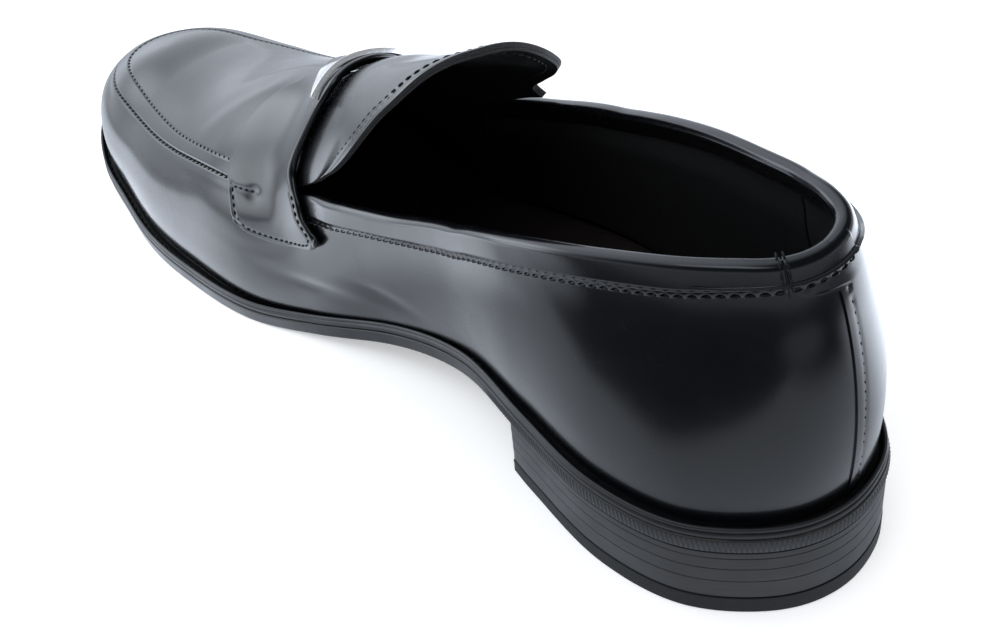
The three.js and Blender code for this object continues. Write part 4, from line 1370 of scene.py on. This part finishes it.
def finish_hidden():
    """The parts inside the shoe keep their CAD shape and get a material."""
    hidden = {"shank": STEEL, "cork_filler": CORK, "insole_board": BOARD}
    hidden.update({"heel_counter": STIFF, "toe_puff": STIFF})
    hidden.update({f"heel_nail_{i + 1}": STEEL for i in range(NAILS)})
    for node, material in hidden.items():
        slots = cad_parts[node].data.materials
        slots.clear()
        slots.append(material)


build_wall()
build_apron()
build_strap()
build_collar()
build_linings()
build_apron_lining()
build_outsole()
build_reeding()
build_welt()
build_heel()
build_sock()
build_plate()
apron_stitches()
strap_stitches()
collar_stitches()
back_seam_stitches()
bar_tack()
welt_stitches()
hang_tongue()
finish_hidden()


# ---- Stage -------------------------------------------------------
PALE_BLUE = (0.88, 0.95, 1.06)
SKY_DIRECTION = (0.75, 0.02, 0.66)


def painted_floor_reflection(m):
    """Painted reflection: glow that the floor gives off only in the leather's reflections, in patches of
    painted light. Each part has a strength, then fades over mm.
    """
    ground = m.stretch(1 / MM, 1 / MM, 1 / MM)
    axes = m.axes(ground)
    x, y = axes["X"], axes["Y"]
    slope = m.math("SUBTRACT", y, m.math("MULTIPLY", m.math("MAXIMUM", x, 0.0), 0.4))
    parts = [
        # under the shoe and towards the camera
        (0.75, m.fade(slope, 108, 80), m.fade(x, -190, -110)),
        # a pool ahead of the toe, on the medial side
        (2.4, m.fade(m.vector_math("DISTANCE", ground, (310, 200, 0)), 210, 70)),
        # a strip beside the toe
        (1.4, m.fade(x, 110, 146), m.fade(y, 125, 85), m.fade(x, 300, 200)),
        # behind the shoe, on the lateral side
        (3.6, m.fade(y, -35, -135), m.fade(x, 160, 40), m.fade(x, -280, -160)),
        # far away all round
        (0.6, m.fade(m.vector_math("DISTANCE", ground, (0, 0, 0)), 500, 1100)),
        # a patch behind the heel
        (0.45, m.fade(m.vector_math("DISTANCE", ground, (-270, 95, 0)), 130, 50)),
    ]
    return m.math("ADD", 0.06, *[m.math("MULTIPLY", *part) for part in parts])


def white_floor():
    """White sheet with an even glow for the camera; in the leather's reflections it is black with painted
    glow, dim by the camera, bright beside the toe and behind the shoe.
    """
    m = Surface("pale_floor")
    path = m.node("ShaderNodeLightPath").outputs
    glossy, camera = path["Is Glossy Ray"], path["Is Camera Ray"]
    white = m.mix(m.noise(300, 2, 0.5), (0.9, 0.9, 0.905), (0.93, 0.93, 0.935))
    # Painted reflection: glossy rays see patches of painted glow on a black floor; the camera sees an even
    # glow.
    glow = m.math("ADD", m.math("MULTIPLY", camera, 0.3), m.math("MULTIPLY", glossy, painted_floor_reflection(m)))
    m.finish(
        Base_Color=m.mix(glossy, white, (0.0, 0.0, 0.0)), Roughness=0.6, Specular_IOR_Level=0.0,
        Emission_Color=m.mix(glossy, (1.0, 1.0, 1.0), PALE_BLUE), Emission_Strength=glow)
    m.material.cycles.emission_sampling = "NONE"
    half = 6000.0
    corners = [(-half, -half, 0), (half, -half, 0), (half, half, 0), (-half, half, 0)]
    new_piece("floor", corners, [[0, 1, 2, 3]], m.material)


def soft_box(name, place, target, width, height, radiance):
    """Light panel whose glow fades towards its edges, so polished leather shows no hard outline of it."""
    data = bpy.data.lights.new(name, "AREA")
    data.shape = "RECTANGLE"
    data.size = width * MM
    data.size_y = height * MM
    data.energy = radiance * math.pi * data.size * data.size_y
    data.color = (0.86, 0.93, 1.0)
    m = Nodes(data)
    on_panel = m.node("ShaderNodeNewGeometry").outputs["Parametric"]
    from_middle = m.vector_math("DISTANCE", on_panel, (0.5, 0.5, 0.0))
    glow = m.node("ShaderNodeEmission")
    m.link(m.fade(from_middle, 0.15, 0.5, 1.0, 0.0), glow.inputs["Strength"])
    m.link(glow.outputs[0], m.node("ShaderNodeOutputLight").inputs[0])
    light = bpy.data.objects.new(name, data)
    bpy.context.scene.collection.objects.link(light)
    light.location = Vector(place) * MM
    light.visible_camera = False
    direction = Vector(target) * MM - light.location
    light.rotation_euler = direction.to_track_quat("-Z", "Y").to_euler()


def studio_world():
    """Even pale light; polished leather mirrors a soft glow high over the toe and a low pale horizon."""
    world = bpy.data.worlds.new("studio")
    bpy.context.scene.world = world
    world.cycles.sampling_method = "NONE"
    m = Nodes(world)

    def background(colour, strength=1.0):
        n = m.node("ShaderNodeBackground")
        n.inputs["Color"].default_value = (*colour, 1)
        m.value(n.inputs["Strength"], strength)
        return n.outputs[0]

    def either(share, *shaders):
        n = m.node("ShaderNodeMixShader")
        for socket, x in zip(n.inputs, (share, *shaders)):
            m.link(x, socket)
        return n.outputs[0]

    direction = m.node("ShaderNodeTexCoord").outputs["Generated"]
    over_toe = m.fade(m.vector_math("DOT_PRODUCT", direction, SKY_DIRECTION), 0.5, 1.0, 0.0, 1.8)
    horizon = m.fade(m.axes(direction)["Z"], 0.0, 0.4, 0.85, 0.05)
    path = m.node("ShaderNodeLightPath").outputs
    mirrored = background(PALE_BLUE, m.math("ADD", over_toe, horizon))
    seen = either(path["Is Glossy Ray"], background((0.97, 0.98, 1.0)), mirrored)
    seen = either(path["Is Camera Ray"], seen, background((1.0, 1.0, 1.0)))
    m.link(seen, m.node("ShaderNodeOutputWorld").inputs[0])


def studio():
    studio_world()
    soft_box("front_panel", (350, 135, 175), target=(135, 20, 60), width=360, height=200, radiance=3.2)
    soft_box("low_panel", (300, 222, 76), target=(140, 45, 40), width=220, height=140, radiance=3.6)
    soft_box("top_strip", (-20, 200, 460), target=(20, 20, 60), width=460, height=200, radiance=3.0)
    bpy.context.scene.view_settings.view_transform = "Standard"


def photo_camera():
    """Camera behind the heel on the medial side, looking down and along the shoe."""
    azimuth, elevation, roll = (math.radians(a) for a in (-124.3714, 42.8979, -11.8935))
    distance = 365.6
    target = Vector((112.95, -23.68, -29.99))
    level = math.cos(elevation)
    back = Vector((math.sin(azimuth) * level, -math.cos(azimuth) * level, math.sin(elevation)))
    right = (-back).cross(Vector((0, 0, 1))).normalized()
    up = right.cross(-back)
    across_view = right * math.cos(roll) + up * math.sin(roll)
    up_view = up * math.cos(roll) - right * math.sin(roll)
    data = bpy.data.cameras.new("camera")
    data.sensor_width = 36
    data.lens = 41.47
    data.clip_start = 0.01
    camera = bpy.data.objects.new("camera", data)
    bpy.context.scene.collection.objects.link(camera)
    turned = Matrix((across_view, up_view, back)).transposed().to_4x4()
    camera.matrix_world = Matrix.Translation((target + back * distance) * MM) @ turned
    bpy.context.scene.camera = camera


white_floor()
studio()
photo_camera()
